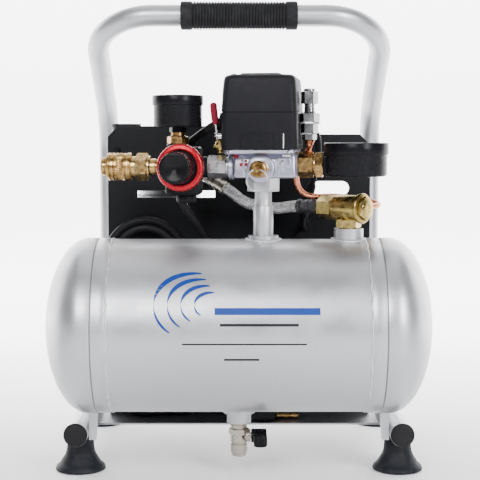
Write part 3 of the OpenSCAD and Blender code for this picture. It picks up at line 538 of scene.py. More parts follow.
SILVER = silver_paint()
WELD = weld_paint()
BRASS = brushed("fitting_brass", (0.3, 0.17, 0.055), 0.27, wear=(0.6, 0.4, 0.18))
VALVE_BRASS = brushed("valve_brass", (0.34, 0.245, 0.07), 0.28, wear=(0.7, 0.54, 0.24))
PALE_BRASS = brushed("coupler_brass", (0.38, 0.235, 0.085), 0.28, wear=(0.68, 0.5, 0.24))
COPPER = brushed("copper_tube", (0.56, 0.2, 0.11), 0.27, 80, 0.16)
ZINC = brushed("zinc_steel", (0.46, 0.46, 0.48), 0.32)
CHROME = brushed("chrome_valve", (0.48, 0.48, 0.49), 0.2)
NICKEL = brushed("nickel_valve", (0.40, 0.365, 0.31), 0.3)
STEEL = brushed("machined_steel", (0.5, 0.5, 0.52), 0.3)
BRAID = brushed("braid_wire", (0.66, 0.66, 0.67), 0.3, 300, 0.2)
RED = finish_material("anodised_red", (0.33, 0.003, 0.011), 0.28, 0.6, 0.12, 60, 1600, 0.00001,
                      wear=(0.7, 0.12, 0.15), coat=0.1, specular=0.2)
ZINC_CAST = cast_metal("diecast_zinc", (0.36, 0.365, 0.45), 0.34)
ALUMINIUM = cast_metal("cast_aluminium", (0.60, 0.61, 0.62), 0.42)
CAN = brushed("capacitor_can", (0.75, 0.75, 0.74), 0.35)
WINDING = finish_material("copper_winding", (0.45, 0.18, 0.07), 0.4, 0.7, 0.3, 200, 600, 0.0002)
PANEL = finish_material("panel_enamel", (0.0085, 0.009, 0.011), 0.5, 0.0, 0.08, 30, 700, 0.00002,
                        specular=0.12,
                        rough_vary=0.08)
ENAMEL = finish_material("motor_enamel", (0.013, 0.014, 0.016), 0.45, 0.0, 0.12, 50, 800, 0.00004,
                         specular=0.3,
                         rough_vary=0.12)
COVER = textured_plastic("switch_plastic", (0.0085, 0.0085, 0.0105), 0.46)
PLUG = textured_plastic("plug_plastic", (0.012, 0.012, 0.013), 0.5)
KNOB = textured_plastic("knob_plastic", (0.006, 0.006, 0.007), 0.26, 1500, 0.00003)
REG = textured_plastic("regulator_coat", (0.007, 0.007, 0.008), 0.4, 1100)
CASE = textured_plastic("gauge_black", (0.006, 0.006, 0.0075), 0.27, 1800, 0.00002)
GRIP = moulded_rubber("grip_rubber", (0.014, 0.014, 0.016), 0.62)
RUBBER = moulded_rubber("foot_rubber", (0.010, 0.011, 0.014), 0.5)
PVC = textured_plastic("cable_pvc", (0.013, 0.013, 0.015), 0.38, 900, 0.00003)
LEVER = textured_plastic("lever_vinyl", (0.22, 0.016, 0.035), 0.3, 800, 0.00003)
DIAL = finish_material("dial_paint", (0.86, 0.86, 0.84), 0.5, 0.0, 0.02, 90, 1200, 0.00001)
INK = finish_material("dial_ink", (0.02, 0.02, 0.022), 0.5, 0.0, 0.2, 90, 1200, 0.00001)
NEEDLE = finish_material("needle_red", (0.6, 0.03, 0.03), 0.4, 0.0, 0.1, 90, 1200, 0.00001)
LENS_GLASS = clear_lens()
FERRULE = finish_material("black_ferrule", (0.02, 0.02, 0.022), 0.34, 0.3, 0.2, 80, 900, 0.00003,
                          wear=(0.25, 0.25, 0.26))
STRIPE_BLUE = finish_material("stripe_blue", (0.004, 0.035, 0.22), 0.4, 0.0, 0.06, 30, 1600, 0.00001,
                              specular=0.2)
STRIPE_DARK = finish_material("stripe_dark", (0.012, 0.012, 0.016), 0.4, 0.0, 0.1, 30, 1600, 0.00001,
                              specular=0.2)

# The finish of each CAD node
NODE_FINISH = {node: finish for finish, names in (
    (SILVER, "tank_shell tank_heads tank_bosses frame_tube tank_brackets pump_deck riser_pipe"),
    (PLUG, "frame_plugs intake_filter cooling_fan"), (GRIP, "handle_grip"),
    (RUBBER, "rubber_feet deck_isolators"),
    (ZINC, "foot_screws head_bolts regulator_nipple pull_ring"), (PANEL, "front_panel"),
    (ALUMINIUM, "crankcase pump_cylinder cylinder_head con_rod piston"), (ENAMEL, "motor_housing fan_cover"),
    (WINDING, "stator"), (STEEL, "rotor shaft_bearings crank"), (CAN, "run_capacitor"),
    (BRAID, "discharge_hose"),
    (FERRULE, "hose_ferrules"), (VALVE_BRASS, "check_valve_body check_valve_cap"), (COPPER, "unloader_tube"),
    (CHROME, "unloader_valve"), (ZINC_CAST, "manifold"), (COVER, "switch_cover"), (LEVER, "switch_lever"),
    (REG, "regulator_body"), (RED, "lock_ring"), (KNOB, "regulator_knob drain_handle"),
    (BRASS, "safety_valve_body safety_stem gauge_fittings"), (CASE, "tank_gauge_case outlet_gauge_case"),
    (DIAL, "gauge_dials"), (LENS_GLASS, "gauge_lenses"), (NEEDLE, "tank_needle outlet_needle"),
    (PALE_BRASS, "coupler_body coupler_sleeve"), (NICKEL, "drain_valve"),
    (PVC, "motor_lead cord_gland cord_run cord_hank cord_plug"),
) for node in names.split()}

# How wide the sharp edges of a CAD node are rounded, in millimetres
EDGE_ROUND = {
    "front_panel": 0.5, "tank_brackets": 0.5, "pump_deck": 0.5, "crankcase": 0.9, "cylinder_head": 0.5,
    "motor_housing": 0.7, "fan_cover": 0.6, "riser_pipe": 0.4, "intake_filter": 0.4, "run_capacitor": 0.4,
    "deck_isolators": 0.3, "foot_screws": 0.3, "head_bolts": 0.25,
}
MERGE_WITHIN = 0.00001   # metres between corners that are one
ROUND_ABOVE = 38         # degrees that an edge turns through before it is rounded


def finish_nodes():
    """Gives the CAD nodes their finish, and softens their sharp edges with modifiers."""
    for name, node in NODES.items():
        node.data.materials.clear()
        node.data.materials.append(NODE_FINISH[name])
        if name in EDGE_ROUND:
            weld = node.modifiers.new("weld", "WELD")
            weld.merge_threshold = MERGE_WITHIN
            bevel = node.modifiers.new("bevel", "BEVEL")
            bevel.width = EDGE_ROUND[name] * MM
            bevel.segments = 2
            bevel.limit_method = "ANGLE"
            bevel.angle_limit = math.radians(ROUND_ABOVE)
            bevel.harden_normals = True


def screw_heads(name, axis, places, base, radius, height, material=ZINC):
    """One piece with a screw's head at each place, all facing along one axis."""
    heads = [screw_mesh(turn_to(axis, at, base), radius, height) for at in places]
    new_piece(name, joined(*heads), material, angle=40)


# ---- Power cord ------------------------------------------------------------

# The route in part.scad, from the strain relief to the hank, and from the hank to the plug
CORD_IN = [
    (-25.5, 19.5, 273), (-32, 22.5, 268.5), (-39, 26, 263), (-45, 29, 256.5), (-50, 31.5, 248.5),
    (-52.5, 34, 239.5), (-52.3, 36, 230.5), (-49.8, 37.5, 222), (-46, 39, 213.5), (-41.3, 41, 205.5),
    (-36, 44, 198), (-31.5, 48, 190), (-27.8, 53, 181.5), (-25, 59.5, 172.5), (-23, 66.5, 162.5),
    (-22, 73, 151), (-21, 77.5, 138), (-21, 80, 124), (-21, 80, 108), (-21, 80, 92), (-21, 80, 77),
    (-21, 80, 62.2), (-22.5, 80, 53), (-26.7, 80, 44.6), (-33.4, 80, 38), (-41.7, 80, 33.7),
    (-51, 80, 32.2), (-58, 80, 32.2),
]
CORD_OUT = [
    (-46, 73.5, 74), (-46, 73.5, 64.2), (-44.6, 73.2, 55.6), (-40.7, 71.8, 47.7), (-34.5, 69.6, 41.6),
    (-26.7, 67.2, 37.6), (-18, 65.3, 36.2), (-8, 64.5, 36.2),
]
CORD_D = 6.5
HANK_RUN = 100           # straight length of each run
HANK_END = 36            # outer radius of the hank's round ends
TURN_STEPS = 56          # points in a turn
CROSSING = 0.86          # the part of a turn after which the cord moves over to its next place


def hank_turns():
    """The spare cord's four turns, from the bottom of the hank to its right side, in the tank's system.

    The turns lie side by side, each a quarter turn further round the middle of the bundle.
    """
    lo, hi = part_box("cord_hank")
    to_row = ROW.inverted()
    low, high = to_row @ lo, to_row @ hi
    x, y_mid, z0 = (low.x + high.x) / 2, (low.y + high.y) / 2, low.z + HANK_END
    r_mid, apart = HANK_END - CORD_D, CORD_D / math.sqrt(2) + 0.03
    points = []
    for turn in range(4):
        part = CROSSING if turn == 3 else 1
        for k in range(int(TURN_STEPS * part)):
            t = k / TURN_STEPS
            change = max(0.0, (t - CROSSING) / 0.14)
            slot = math.radians(45 + 90 * turn + 90 * change * change * (3 - 2 * change))
            r, y = r_mid + apart * math.cos(slot), y_mid + apart * math.sin(slot)
            quarter, around = math.pi * r / 2, math.pi * r
            s = t * (2 * around + 2 * HANK_RUN)
            if s < quarter:
                p = (-r * math.sin(s / r), -r * math.cos(s / r))
            elif s < quarter + HANK_RUN:
                p = (-r, s - quarter)
            elif s < quarter + HANK_RUN + around:
                a = (s - quarter - HANK_RUN) / r
                p = (-r * math.cos(a), HANK_RUN + r * math.sin(a))
            elif s < quarter + 2 * HANK_RUN + around:
                p = (r, 2 * HANK_RUN + quarter + around - s)
            else:
                a = (s - quarter - 2 * HANK_RUN - around) / r
                p = (r * math.cos(a), -r * math.sin(a))
            points.append(Vector((x + p[0], y, z0 + p[1])))
    return points


def make_cord():
    hank = hank_turns()
    lead_in = smooth_route(CORD_IN, 4)
    tail = smooth_route(CORD_OUT, 4)
    while hank and hank[-1].z < tail[0].z + 2:
        hank.pop()
    while hank[0].x > lead_in[-1].x - 2:
        hank.pop(0)
    path = [ROW @ p for p in lead_in + hank + tail]
    cord = new_piece("power_cord", tube_mesh(path, CORD_D / 2 * MM, 14), PVC)
    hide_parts("cord_run", "cord_hank")
    plug = make_plug()
    make_cord_tie()


def make_cord_tie():
    """A flat tie round the hank's two runs."""
    lo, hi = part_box("cord_hank")
    mid = (lo + hi) / 2
    for name, side in (("cord_tie_left", -1), ("cord_tie_right", 1)):
        half_w, half_d, half_h, thick = 0.0066, 0.0066, 0.006, 0.0007
        x0 = mid.x + side * (hi.x - mid.x - half_w)
        verts, faces = [], []
        outline = [(-1, -1), (1, -1), (1, 1), (-1, 1)]
        for grow, z in ((0, -1), (0, 1), (1, 1), (1, -1)):
            for sx, sy in outline:
                verts.append((x0 + sx * (half_w - thick * (1 - grow)),
                              mid.y + sy * (half_d - thick * (1 - grow)),
                              mid.z + z * half_h))
        for ring in range(4):
            low, high = ring * 4, (ring + 1) % 4 * 4
            for k in range(4):
                j = (k + 1) % 4
                faces.append((low + k, high + k, high + j, low + j))
        tie = new_piece(name, (verts, faces), FERRULE, smooth=False)
        tie.modifiers.new("round", "BEVEL").width = 0.0002


def make_plug():
    """A moulded plug with its strain relief and three pins, in place of the plain one."""
    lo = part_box("cord_plug")[0]
    low = ROW.inverted() @ lo
    x0, (_, y, z) = low.x, CORD_OUT[-1]
    relief = [(CORD_D / 2 + 0.1, 0)]
    for i in range(7):
        h = 1.4 * i
        wide, narrow = 4.1 + 0.12 * i, 3.5 + 0.12 * i
        relief += [(wide, h), (wide, h + 0.8), (narrow, h + 0.85), (narrow, h + 1.35)]
    relief += [(5.4, 10.2), (0, 10.2)]
    axis = turn_to(X, (x0, y, z), ROW)
    body = rounded_box((x0 + 10, y - 12, low.z), (x0 + 40, y + 12, low.z + 17.6), 4.5, 4)
    pins = [rounded_box((x0 + 39, y + side - 0.75, z + 1), (x0 + 56.5, y + side + 0.75, z + 7.2), 0.35, 2)
            for side in (-6.4, 6.4)]
    ground = lathe_mesh([(0, 39), (2.35, 39), (2.35, 56), (1.6, 58), (0, 58.4)],
                        turn_to(X, (x0, y, z - 4), ROW), 24)
    plug = new_piece("power_plug", joined(lathe_mesh([(0, 0)] + relief, axis, 28), body), PLUG,
                     angle=38)
    metal = new_piece("plug_pins", joined(*pins, ground), BRASS, angle=38)
    metal.parent = plug
    metal.matrix_parent_inverse = plug.matrix_world.inverted()
    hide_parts("cord_plug")
    return plug


# ---- Tank ------------------------------------------------------------------

HALF = 117.25            # half the length of the tank's straight shell
RIM = 1.0                # how much wider a head is than the shell
DISH = 34                # depth of a dished head
BAND = (98.5, 110)       # the welded lap at each end, from the shell to the seam's groove
PRINT_THICK = 0.07       # how far the printed badge stands off the shell
TANK_Z = TANK.z / MM
SHELL_R = TANK_R / MM


def weld_bead(name, path, width):
    """A ring of weld: a half-sunk bead whose width and height ripple along it."""
    radii = [width * (1 + 0.10 * math.sin(i * 1.9) + 0.07 * rng.uniform(-1, 1)) for i in range(len(path))]
    new_piece(name, tube_mesh(path, radii, 10), WELD)


def ring_on_tank(x, radius, height):
    """Points round a circle about a vertical line at x, each at the height that height(y) gives."""
    points, count = [], 72
    for k in range(count + 1):
        a = 2 * math.pi * k / count
        p = Vector((x, 0, 0)) + Vector((radius * math.cos(a), radius * math.sin(a), 0))
        p.z = height(p.y)
        points.append(ROW @ p)
    return points


def tank_top(y):
    """Height of the tank's upper surface at a distance y from its axis."""
    return TANK_Z + math.sqrt(max(0, SHELL_R ** 2 - y * y))


def tank_bottom(y):
    return 2 * TANK_Z - tank_top(y)


def make_tank():
    end = []
    for i in range(25):
        a = math.radians(90 - 90 * i / 24)
        end.append(((SHELL_R + RIM) * math.cos(a), HALF + DISH * math.sin(a)))
    rim = SHELL_R + RIM
    seam = [(rim - 0.05, BAND[1] + 1.2), (rim - 0.25, BAND[1] + 0.5), (rim - 1.3, BAND[1]),
            (rim - 0.35, BAND[1] - 0.6)]
    lap = []
    for i in range(13):
        t = i / 12
        swell = 0.35 + 0.6 * math.sin(math.pi * min(1, t * 1.08) * 0.62 + 0.35)
        lap.append((SHELL_R + RIM * swell * (1 - t ** 6),
                    BAND[1] - 1 - t * (BAND[1] - 1 - BAND[0])))
    inside = [(SHELL_R, BAND[0] - 0.7), (SHELL_R, BAND[0] - 4), (SHELL_R, 60), (SHELL_R, 0)]
    outer = [p for p in end if p[1] > BAND[1] + 1.5]
    right = outer + seam + lap + inside
    left = [(r, -h) for r, h in reversed(right[:-1])]
    skin = turned("tank_skin", X, (0, 0, TANK_Z), right + left, SILVER, steps=128, angle=40)
    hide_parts("tank_shell", "tank_heads")
    for side, name in ((-1, "left"), (1, "right")):
        path = []
        for k in range(241):
            a = 2 * math.pi * k / 240
            x = side * (BAND[0] + 0.35 * math.sin(a * 31) + rng.uniform(-0.12, 0.12))
            r = SHELL_R + 0.02
            path.append(ROW @ Vector((x, r * math.cos(a), TANK_Z + r * math.sin(a))))
        weld_bead("tank_weld_" + name, path, 0.75 * MM)
    for name, x, r in (("riser", 19, 12.2), ("check", 86, 11.8)):
        weld_bead("boss_weld_" + name, ring_on_tank(x, r + 0.9, tank_top), 1.15 * MM)
    weld_bead("boss_weld_drain", ring_on_tank(0, 13.3, tank_bottom), 1.0 * MM)


def curved_patch(name, outline, material):
    """A thin printed patch on the tank's front: outline is rows of (x, degrees up from the front)."""
    verts, faces, n = [], [], len(outline[0])
    for depth in (PRINT_THICK, 0.02):
        for row in outline:
            for x, a in row:
                r, a = SHELL_R + depth, math.radians(a)
                verts.append(ROW @ Vector((x, -r * math.cos(a), TANK_Z + r * math.sin(a))))
    rows = len(outline)
    for layer in range(2):
        start = layer * rows * n
        for i in range(rows - 1):
            for k in range(n - 1):
                quad = (start + i * n + k, start + i * n + k + 1, start + (i + 1) * n + k + 1,
                        start + (i + 1) * n + k)
                faces.append(quad if layer == 0 else tuple(reversed(quad)))
    edge = [k for k in range(n)] + [i * n + n - 1 for i in range(1, rows)]
    edge += [(rows - 1) * n + k for k in range(n - 2, -1, -1)] + [i * n for i in range(rows - 2, 0, -1)]
    for a, b in zip(edge, edge[1:] + edge[:1]):
        faces.append((a, b, b + rows * n, a + rows * n))
    new_piece(name, (verts, faces), material, angle=40)


def make_stripes():
    """Plain arcs and bars in place of the printed badge."""
    for i in range(4):
        rows = []
        for side in (-0.5, 0.5):
            row = []
            for k in range(37):
                t = k / 36
                thick = (4.4 - 0.5 * i) * math.sin(math.pi * (0.03 + 0.94 * t)) ** 0.7 + 0.1
                a = math.radians(232 - 150 * t)
                row.append((-32 + 4 * i + (31 - 6 * i) * math.cos(a),
                            21 + (22 - 4.6 * i) * math.sin(a) + side * thick))
            rows.append(row)
        curved_patch(f"stripe_arc_{i}", rows, STRIPE_BLUE)
    bars = ((-18, 60, 17, 4.4, STRIPE_BLUE), (-14, 44, 8.5, 1.7, STRIPE_DARK),
            (-42, 50, -3.5, 1.0, STRIPE_DARK),
            (-11, 15, -13.5, 1.3, STRIPE_DARK))
    for i, (x0, x1, up, thick, ink) in enumerate(bars):
        rows = [[(x0 + (x1 - x0) * k / 24, up + s * thick / 2) for k in range(25)] for s in (-1, 1)]
        curved_patch(f"stripe_bar_{i}", rows, ink)


# ---- Frame, grip and feet --------------------------------------------------

def make_grip():
    lo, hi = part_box("handle_grip")
    y, z = (lo.y + hi.y) / 2, (lo.z + hi.z) / 2
    half, r = (hi.x - lo.x) / 2 / MM, (hi.z - lo.z) / 2 / MM
    profile = [(9.55, -half), (r - 1.2, -half), (r - 0.3, -half + 0.4), (r - 0.02, -half + 1.4),
               (r - 0.02, -half + 9.4), (r - 0.5, -half + 10.2), (r - 1.5, -half + 10.6)]
    count, start = 31, -half + 11
    pitch = (2 * half - 22) / count
    for i in range(count):
        h = start + i * pitch
        profile += [(r - 1.5, h + 0.05 * pitch), (r - 0.5, h + 0.2 * pitch), (r - 0.12, h + 0.42 * pitch),
                    (r - 0.16, h + 0.6 * pitch), (r - 0.6, h + 0.8 * pitch), (r - 1.5, h + 0.95 * pitch)]
    profile += [(q, -h) for q, h in reversed(profile[:7])]
    place = Matrix.Translation((0, y, z)) @ Matrix.Scale(MM, 4)
    grip = turned("foam_grip", X, (0, 0, 0), profile, GRIP, base=place, steps=72, angle=50)
    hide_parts("handle_grip")


def make_feet():
    lo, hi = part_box("rubber_feet")
    x_mid = (hi.x - lo.x) / 2 / MM - 20.2
    y_feet = (14, 175)
    profile = [(5, 5.2), (5, 2.6), (13.6, 2.6), (16.6, 0.5), (17.4, 0.05), (19.2, 0.05), (19.95, 0.5),
               (20.1, 1.4),
               (19.9, 2.4), (19.2, 3.6), (17.6, 5.0), (16.3, 6.2), (15.1, 8.4), (13.8, 10.4), (12.5, 12.6),
               (11.6, 15),
               (11.0, 18.2), (10.8, 22), (10.8, 30.5), (10.5, 32), (9.6, 32.8), (2, 32.9)]
    for x, side in ((-x_mid, "left"), (x_mid, "right")):
        for y, end in zip(y_feet, ("front", "rear")):
            foot = turned(f"foot_{side}_{end}", Z, (x, y, 0), profile, RUBBER, angle=42)
            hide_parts("rubber_feet")
            washer = [(4.7, 2.7), (4.7, 5.2), (4.2, 5.5), (0.01, 5.5)]
            turned(f"foot_washer_{side}_{end}", Z, (x, y, 0), washer, ZINC, steps=32)
            # The clip that holds the neck to the rail
            turned(f"foot_collar_{side}_{end}", Z, (x, y, 0),
                   [(10.7, 26), (11.15, 26.2), (11.2, 26.8), (11.2, 29.2), (11.15, 29.8), (10.7, 30)], RUBBER,
                   steps=64)
    lo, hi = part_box("frame_plugs")
    z, front = (lo.z + hi.z) / 2 / MM, (ROW.inverted() @ lo).y
    for x, side in ((-x_mid, "left"), (x_mid, "right")):
        cap = [(0, 0.05), (4.5, 0.12), (7.4, 0.5), (8.8, 1.1), (9.35, 2.0), (9.4, 2.7), (9.0, 2.9),
               (7.9, 3.0),
               (7.9, 9)]
        plug = turned(f"rail_plug_{side}", Y, (x, front, z), cap, PLUG, steps=48, angle=50)
        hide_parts("frame_plugs")


# ---- Switch cover, lever and manifold --------------------------------------

COVER_LO, COVER_HI = (-11, -28, 258), (47.5, 40, 316)
PORT_Z = 244             # height of the line through the regulator, the nipple and the coupler
REG_X = -42              # the regulator's knob along that line
OUTLET_X = -48.5         # the small gauge along it
TANK_GAUGE_X = 91.2

# Lines that the head's fittings are turned about
PORT_LINE = turn_to(X, (0, 0, PORT_Z), HEAD)
REG_LINE = turn_to(Y, (REG_X, 0, PORT_Z), HEAD)
SAFETY_LINE = turn_to(Y, (18.5, 0, 243), HEAD)
GAUGE_LINE = turn_to(X, (0, 0, 246), HEAD)
OUTLET_LINE = turn_to(Z, (OUTLET_X, 0, 0), HEAD)


def make_cover():
    x0, y0, z0 = COVER_LO
    x1, y1, _ = COVER_HI
    steps = [(0, 0.7), (0.3, 0.2), (0.9, 0), (27.6, 0.05), (28, 0.5), (28.5, 0.5), (28.9, 0.15), (30, 0.2),
             (44, 0.9),
             (52, 1.6), (54.2, 2.0), (55.6, 2.9), (56.5, 4.3), (56.9, 6.0)]
    shell = loft_mesh([(z0 + h, x0 + d, x1 - d, y0 + d, y1 - d, 5.5 + d * 0.3) for h, d in steps], HEAD, 7)
    rise = [(56, 0), (57.3, 0), (57.8, 0.25), (58, 0.8)]
    plate = block((x0 + 14.2, x1 - 13.5), (y0 + 7, y1 - 8), z0, rise, 3.5, HEAD)
    cover = new_piece("switch_shell", joined(shell, plate), COVER, angle=35)
    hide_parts("switch_cover")
    rims = boxes(HEAD, ((4.5, y0 - 0.55, 259.2), (5.4, y0 + 0.6, 269.6), 0.25, 2),
                 ((29.6, y0 - 0.55, 259.2), (30.5, y0 + 0.6, 269.6), 0.25, 2),
                 ((4.5, y0 - 0.55, 268.8), (30.5, y0 + 0.6, 269.6), 0.25, 2),
                 ((10.8, y0 - 0.4, 262), (11.7, y0 + 0.6, 266.5), 0.2, 2),
                 ((18, y0 - 0.4, 263.4), (22, y0 + 0.6, 264.2), 0.2, 2),
                 *(((6.4 * i, y1 - 0.6, 266), (2.6 + 6.4 * i, y1 + 0.5, 283), 0.4, 2) for i in range(7)),
                 *(((x1 - 0.6, -12 + 6 * i, 262), (x1 + 0.45, -9.6 + 6 * i, 268.5), 0.35,
                    2) for i in range(5)))
    new_piece("switch_shell_ribs", joined(*rims), COVER, angle=40)
    # A thin white strip on the cover's front is a painted highlight, standing in for a bright edge line
    seam = rounded_box((36.9, y0 - 0.35, 258.8), (37.5, y0 + 0.5, 270), 0.12, 1, HEAD)
    new_piece("switch_shell_painted_highlight", seam, DIAL, angle=40)
    screw_heads("switch_shell_screws", Z, ((-2, -16, 314.7), (38.5, 28, 314.7)), HEAD, 2.3, 1.2)


def make_lever():
    y, z = -5, 268
    up = [(-16.9, y, z - 1), (-17.0, y - 0.3, z + 4), (-17.6, y - 0.9, z + 9), (-18.3, y - 1.5, z + 14)]
    corners = ((-0.5, -2), (0.5, -2), (0.5, 2), (-0.5, 2))
    strip = [HEAD @ Vector((p[0] + dx, p[1] + dy, p[2])) for p in up for dx, dy in corners]
    faces = [(0, 3, 2, 1), (12, 13, 14, 15)] + between(4, 4)
    hub = lathe_mesh([(0, -18.6), (2.6, -18.5), (3, -18), (3, -16.2), (2.2, -15.8), (2.2, -11), (0, -11)],
                     turn_to(X, (0, y, z), HEAD), 32)
    strap = new_piece("lever_strap", joined((strip, faces), hub), CHROME, angle=40,
                      body="switch_lever")
    path = smooth_route([(-17.5, y - 0.9, z + 9.5), (-18.1, y - 1.5, z + 13), (-18.7, y - 2.0, z + 18),
                         (-19.1, y - 2.4, z + 23), (-19.3, y - 2.6, z + 26.2)], 6, HEAD)
    n = len(path) - 1
    radii = [2.75 * MM * (0.72 + 0.28 * math.sin(min(1, 3.2 * i / n) * math.pi / 2))
             * math.sqrt(max(0.03, 1 - max(0, (i / n - 0.8) / 0.2) ** 2)) for i in range(n + 1)]
    cap = new_piece("lever_cap", tube_mesh(path, radii, 24), LEVER, angle=60,
                    body="switch_lever")
    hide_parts("switch_lever")
    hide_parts("switch_lever")
    # The small valve that the lever works, screwed to the cover's side
    parts = [lathe_mesh([(0, 254.6), (1.9, 254.6), (2.3, 255.2), (2.3, 257), (3.6, 257.4), (3.8, 258),
                         (3.8, 263.2),
                         (3.2, 263.8), (2.4, 264.2), (2.4, 265.2), (0, 265.2)],
                         turn_to(Z, (-15.6, 3, 0), HEAD), 28),
             hex_mesh(258.6, 261.4, 8.6, turn_to(Z, (-15.6, 3, 0), HEAD)),
             lathe_mesh([(0, -15), (2.4, -15), (2.4, -10.8), (0, -10.8)], turn_to(X, (0, 3, 261), HEAD), 20)]
    new_piece("lever_valve", joined(*parts), VALVE_BRASS, angle=35)


def make_manifold():
    body = block((-4, 46), (-13, 13), 235.6,
                 [(0, 1.6), (0.5, 0.6), (1.4, 0.05), (2, 0), (16.6, 0), (17.6, 0.4), (18.6, 1.2)], 3.2, HEAD)
    flange = block((-9.5, 46), (-26, 38), 254, [(0, 1.8), (0.7, 0.4), (1.3, 0), (3.5, 0), (3.95, 0.4)], 4.5,
                   HEAD, 6)
    barrel = lathe_mesh([(0, -8.3), (8.6, -8.3), (9.5, -7.9), (10, -7.2), (10, -4.5), (9.6, -4.2),
                         (9.6, -3.6),
                         (0, -3.6)], PORT_LINE, 48)
    boss = lathe_mesh([(0, -17), (9.6, -17), (10.5, -16.6), (10.8, -15.8), (10.8, -12.6), (9, -12), (9, 14.4),
                       (8.4, 15), (0, 15)], SAFETY_LINE, 56)
    ribs = [rounded_box((x - 1, -13.9, 238), (x + 1, -12.5, 253), 0.4, 2, HEAD) for x in (5.2, 32.5)]
    pads = boxes(HEAD, ((31.5, -13.7, 243.6), (41.5, -12.4, 251.6), 0.6, 2),
                 ((-2.5, 12.4, 240), (12, 14, 251), 0.6, 2))
    plugs = [hex_mesh(13, 15.4, 12, turn_to(Y, (38, 0, 244.5), HEAD)),
             hex_mesh(45.6, 46.6, 19.5, GAUGE_LINE, 30)]
    piece = new_piece("manifold_casting", joined(body, flange, barrel, boss, *ribs, *pads, *plugs), ZINC_CAST,
                      angle=34)
    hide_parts("manifold")
    blocks = boxes(HEAD, ((35, -15.2, 252.2), (41.6, -12.6, 257.2), 0.5, 3),
                   ((34.2, -14.6, 246), (36, -13.5, 251.5), 0.3, 2))
    new_piece("manifold_clip", joined(*blocks), CHROME, angle=40)
    inset = boxes(HEAD, ((2, -13.75, 244.8), (8.3, -12.6, 247.6), 0.35, 2),
                  ((3.4, -13.65, 248.2), (7.6, -12.6, 249.8), 0.3, 2),
                  ((-2.8, -13.6, 251), (1.2, -12.6, 254.6), 0.35, 2))
    new_piece("manifold_seal", joined(*inset), LEVER, angle=40)
    screw_heads("manifold_screws", (0, -1, 0), ((-4, -26.05, 256), (41, -26.05, 256)), HEAD, 1.6, 0.9)


def make_nipple():
    parts = [hex_mesh(-24.5, -9.6, 16, PORT_LINE, 30),
             lathe_mesh([(0, -9.7), (7.6, -9.6), (7.8, -9), (7.8, -8.3), (0, -8.3)], PORT_LINE, 40)]
    nipple = new_piece("hex_nipple", joined(*parts), ZINC, angle=30)
    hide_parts("regulator_nipple")


# ---- Regulator -------------------------------------------------------------

def make_regulator():
    parts = [block((-57, -30), (-14, 12), 222,
                   [(0, 2.4), (0.8, 0.9), (2, 0.2), (3, 0), (35.5, 0), (37, 0.6), (38, 2.2)], 4, HEAD),
             lathe_mesh([(0, -20), (15.2, -20), (16.1, -19.6), (16.5, -18.8), (16.5, -14.6), (15.8, -13.2),
                         (0, -13)],
                        REG_LINE, 64),
             lathe_mesh([(4.3, -30), (12.9, -30), (13.35, -29.4), (13.35, -19.4), (4.3, -19.4)], REG_LINE,
                        56),
             lathe_mesh([(0, 260), (8.2, 260), (9, 260.4), (9, 261.6), (8.5, 262), (0, 262)], OUTLET_LINE,
                        40),
             lathe_mesh([(0, 216), (6.6, 216), (7.6, 216.5), (8, 217.3), (8, 221), (7.4, 222.5), (0, 223)],
                        turn_to(Z, (REG_X, 0, 0), HEAD), 40),
             lathe_mesh([(0, -31), (8.2, -31), (8.2, -25.2), (7.6, -24.5), (0, -24.5)], PORT_LINE, 40)]
    for i in range(4):
        a = math.radians(45 + 90 * i)
        place = turn_to(Y, (REG_X + 15.2 * math.cos(a), 0, PORT_Z + 15.2 * math.sin(a)), HEAD)
        parts.append(lathe_mesh([(0, -20.6), (1.5, -20.6), (1.9, -20.2), (1.9, -18), (0, -18)], place, 18))
    body = new_piece("regulator_casting", joined(*parts), REG, angle=36)
    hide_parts("regulator_body")
    ring = [(13.48, -31.3), (14.0, -31.9), (14.9, -32), (15.6, -31.7), (16.2, -31.75), (17.2, -31.4),
            (18.0, -30.5),
            (18.4, -29.2), (18.5, -27.6), (18.4, -25.8), (18.0, -24.5), (17.2, -24.05), (13.48, -24)]
    mesh = fluted(lathe_mesh(ring, REG_LINE, 144, closed=True), REG_LINE, 36, 0.28, -30.8, -24.4)
    piece = new_piece("locking_ring", mesh, RED, angle=45, body="lock_ring")
    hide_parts("lock_ring")
    knob = [(0, -54.35), (3.2, -54.35), (3.5, -54.6), (8.9, -54.75), (9.4, -55), (10.7, -54.95),
            (11.6, -54.5),
            (12.15, -53.6), (12.28, -52.4), (12.28, -40.4), (11.9, -39.9), (11.7, -39.4), (11.9, -38.8),
            (12.28, -38.4),
            (12.28, -32.8), (11.8, -32.2), (11.4, -31.6), (11.4, -30.2), (4.1, -30), (4.1, -23), (0, -23)]
    mesh = fluted(lathe_mesh(knob, REG_LINE, 144), REG_LINE, 24, 0.55, -53.7, -40.3)
    piece = new_piece("pressure_knob", mesh, KNOB, angle=45, body="regulator_knob")
    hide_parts("regulator_knob")


# ---- Gauges ----------------------------------------------------------------

SEGMENTS = {"0": "abcdef", "2": "abged", "4": "fgbc", "6": "afedcg", "8": "abcdefg", "1": "bc"}


def numeral_mesh(text, at, size, z, base):
    """Digits made of straight strokes, flat on a dial."""
    w, h, t, parts = size * 0.5, size, size * 0.14, []
    boxes = {"a": (0, h - t, w, h), "b": (w - t, h / 2, w, h), "c": (w - t, 0, w, h / 2), "d": (0, 0, w, t),
             "e": (0, 0, t, h / 2), "f": (0, h / 2, t, h), "g": (0, h / 2 - t / 2, w, h / 2 + t / 2)}
    total = len(text) * w * 1.35 - w * 0.35
    for i, digit in enumerate(text):
        left = at[0] - total / 2 + i * w * 1.35
        for s in SEGMENTS[digit]:
            x0, y0, x1, y1 = boxes[s]
            low = at[1] - h / 2
            parts.append(rounded_box((left + x0, low + y0, z), (left + x1, low + y1, z + 0.09), 0.02, 1,
                                     base))
    return joined(*parts)


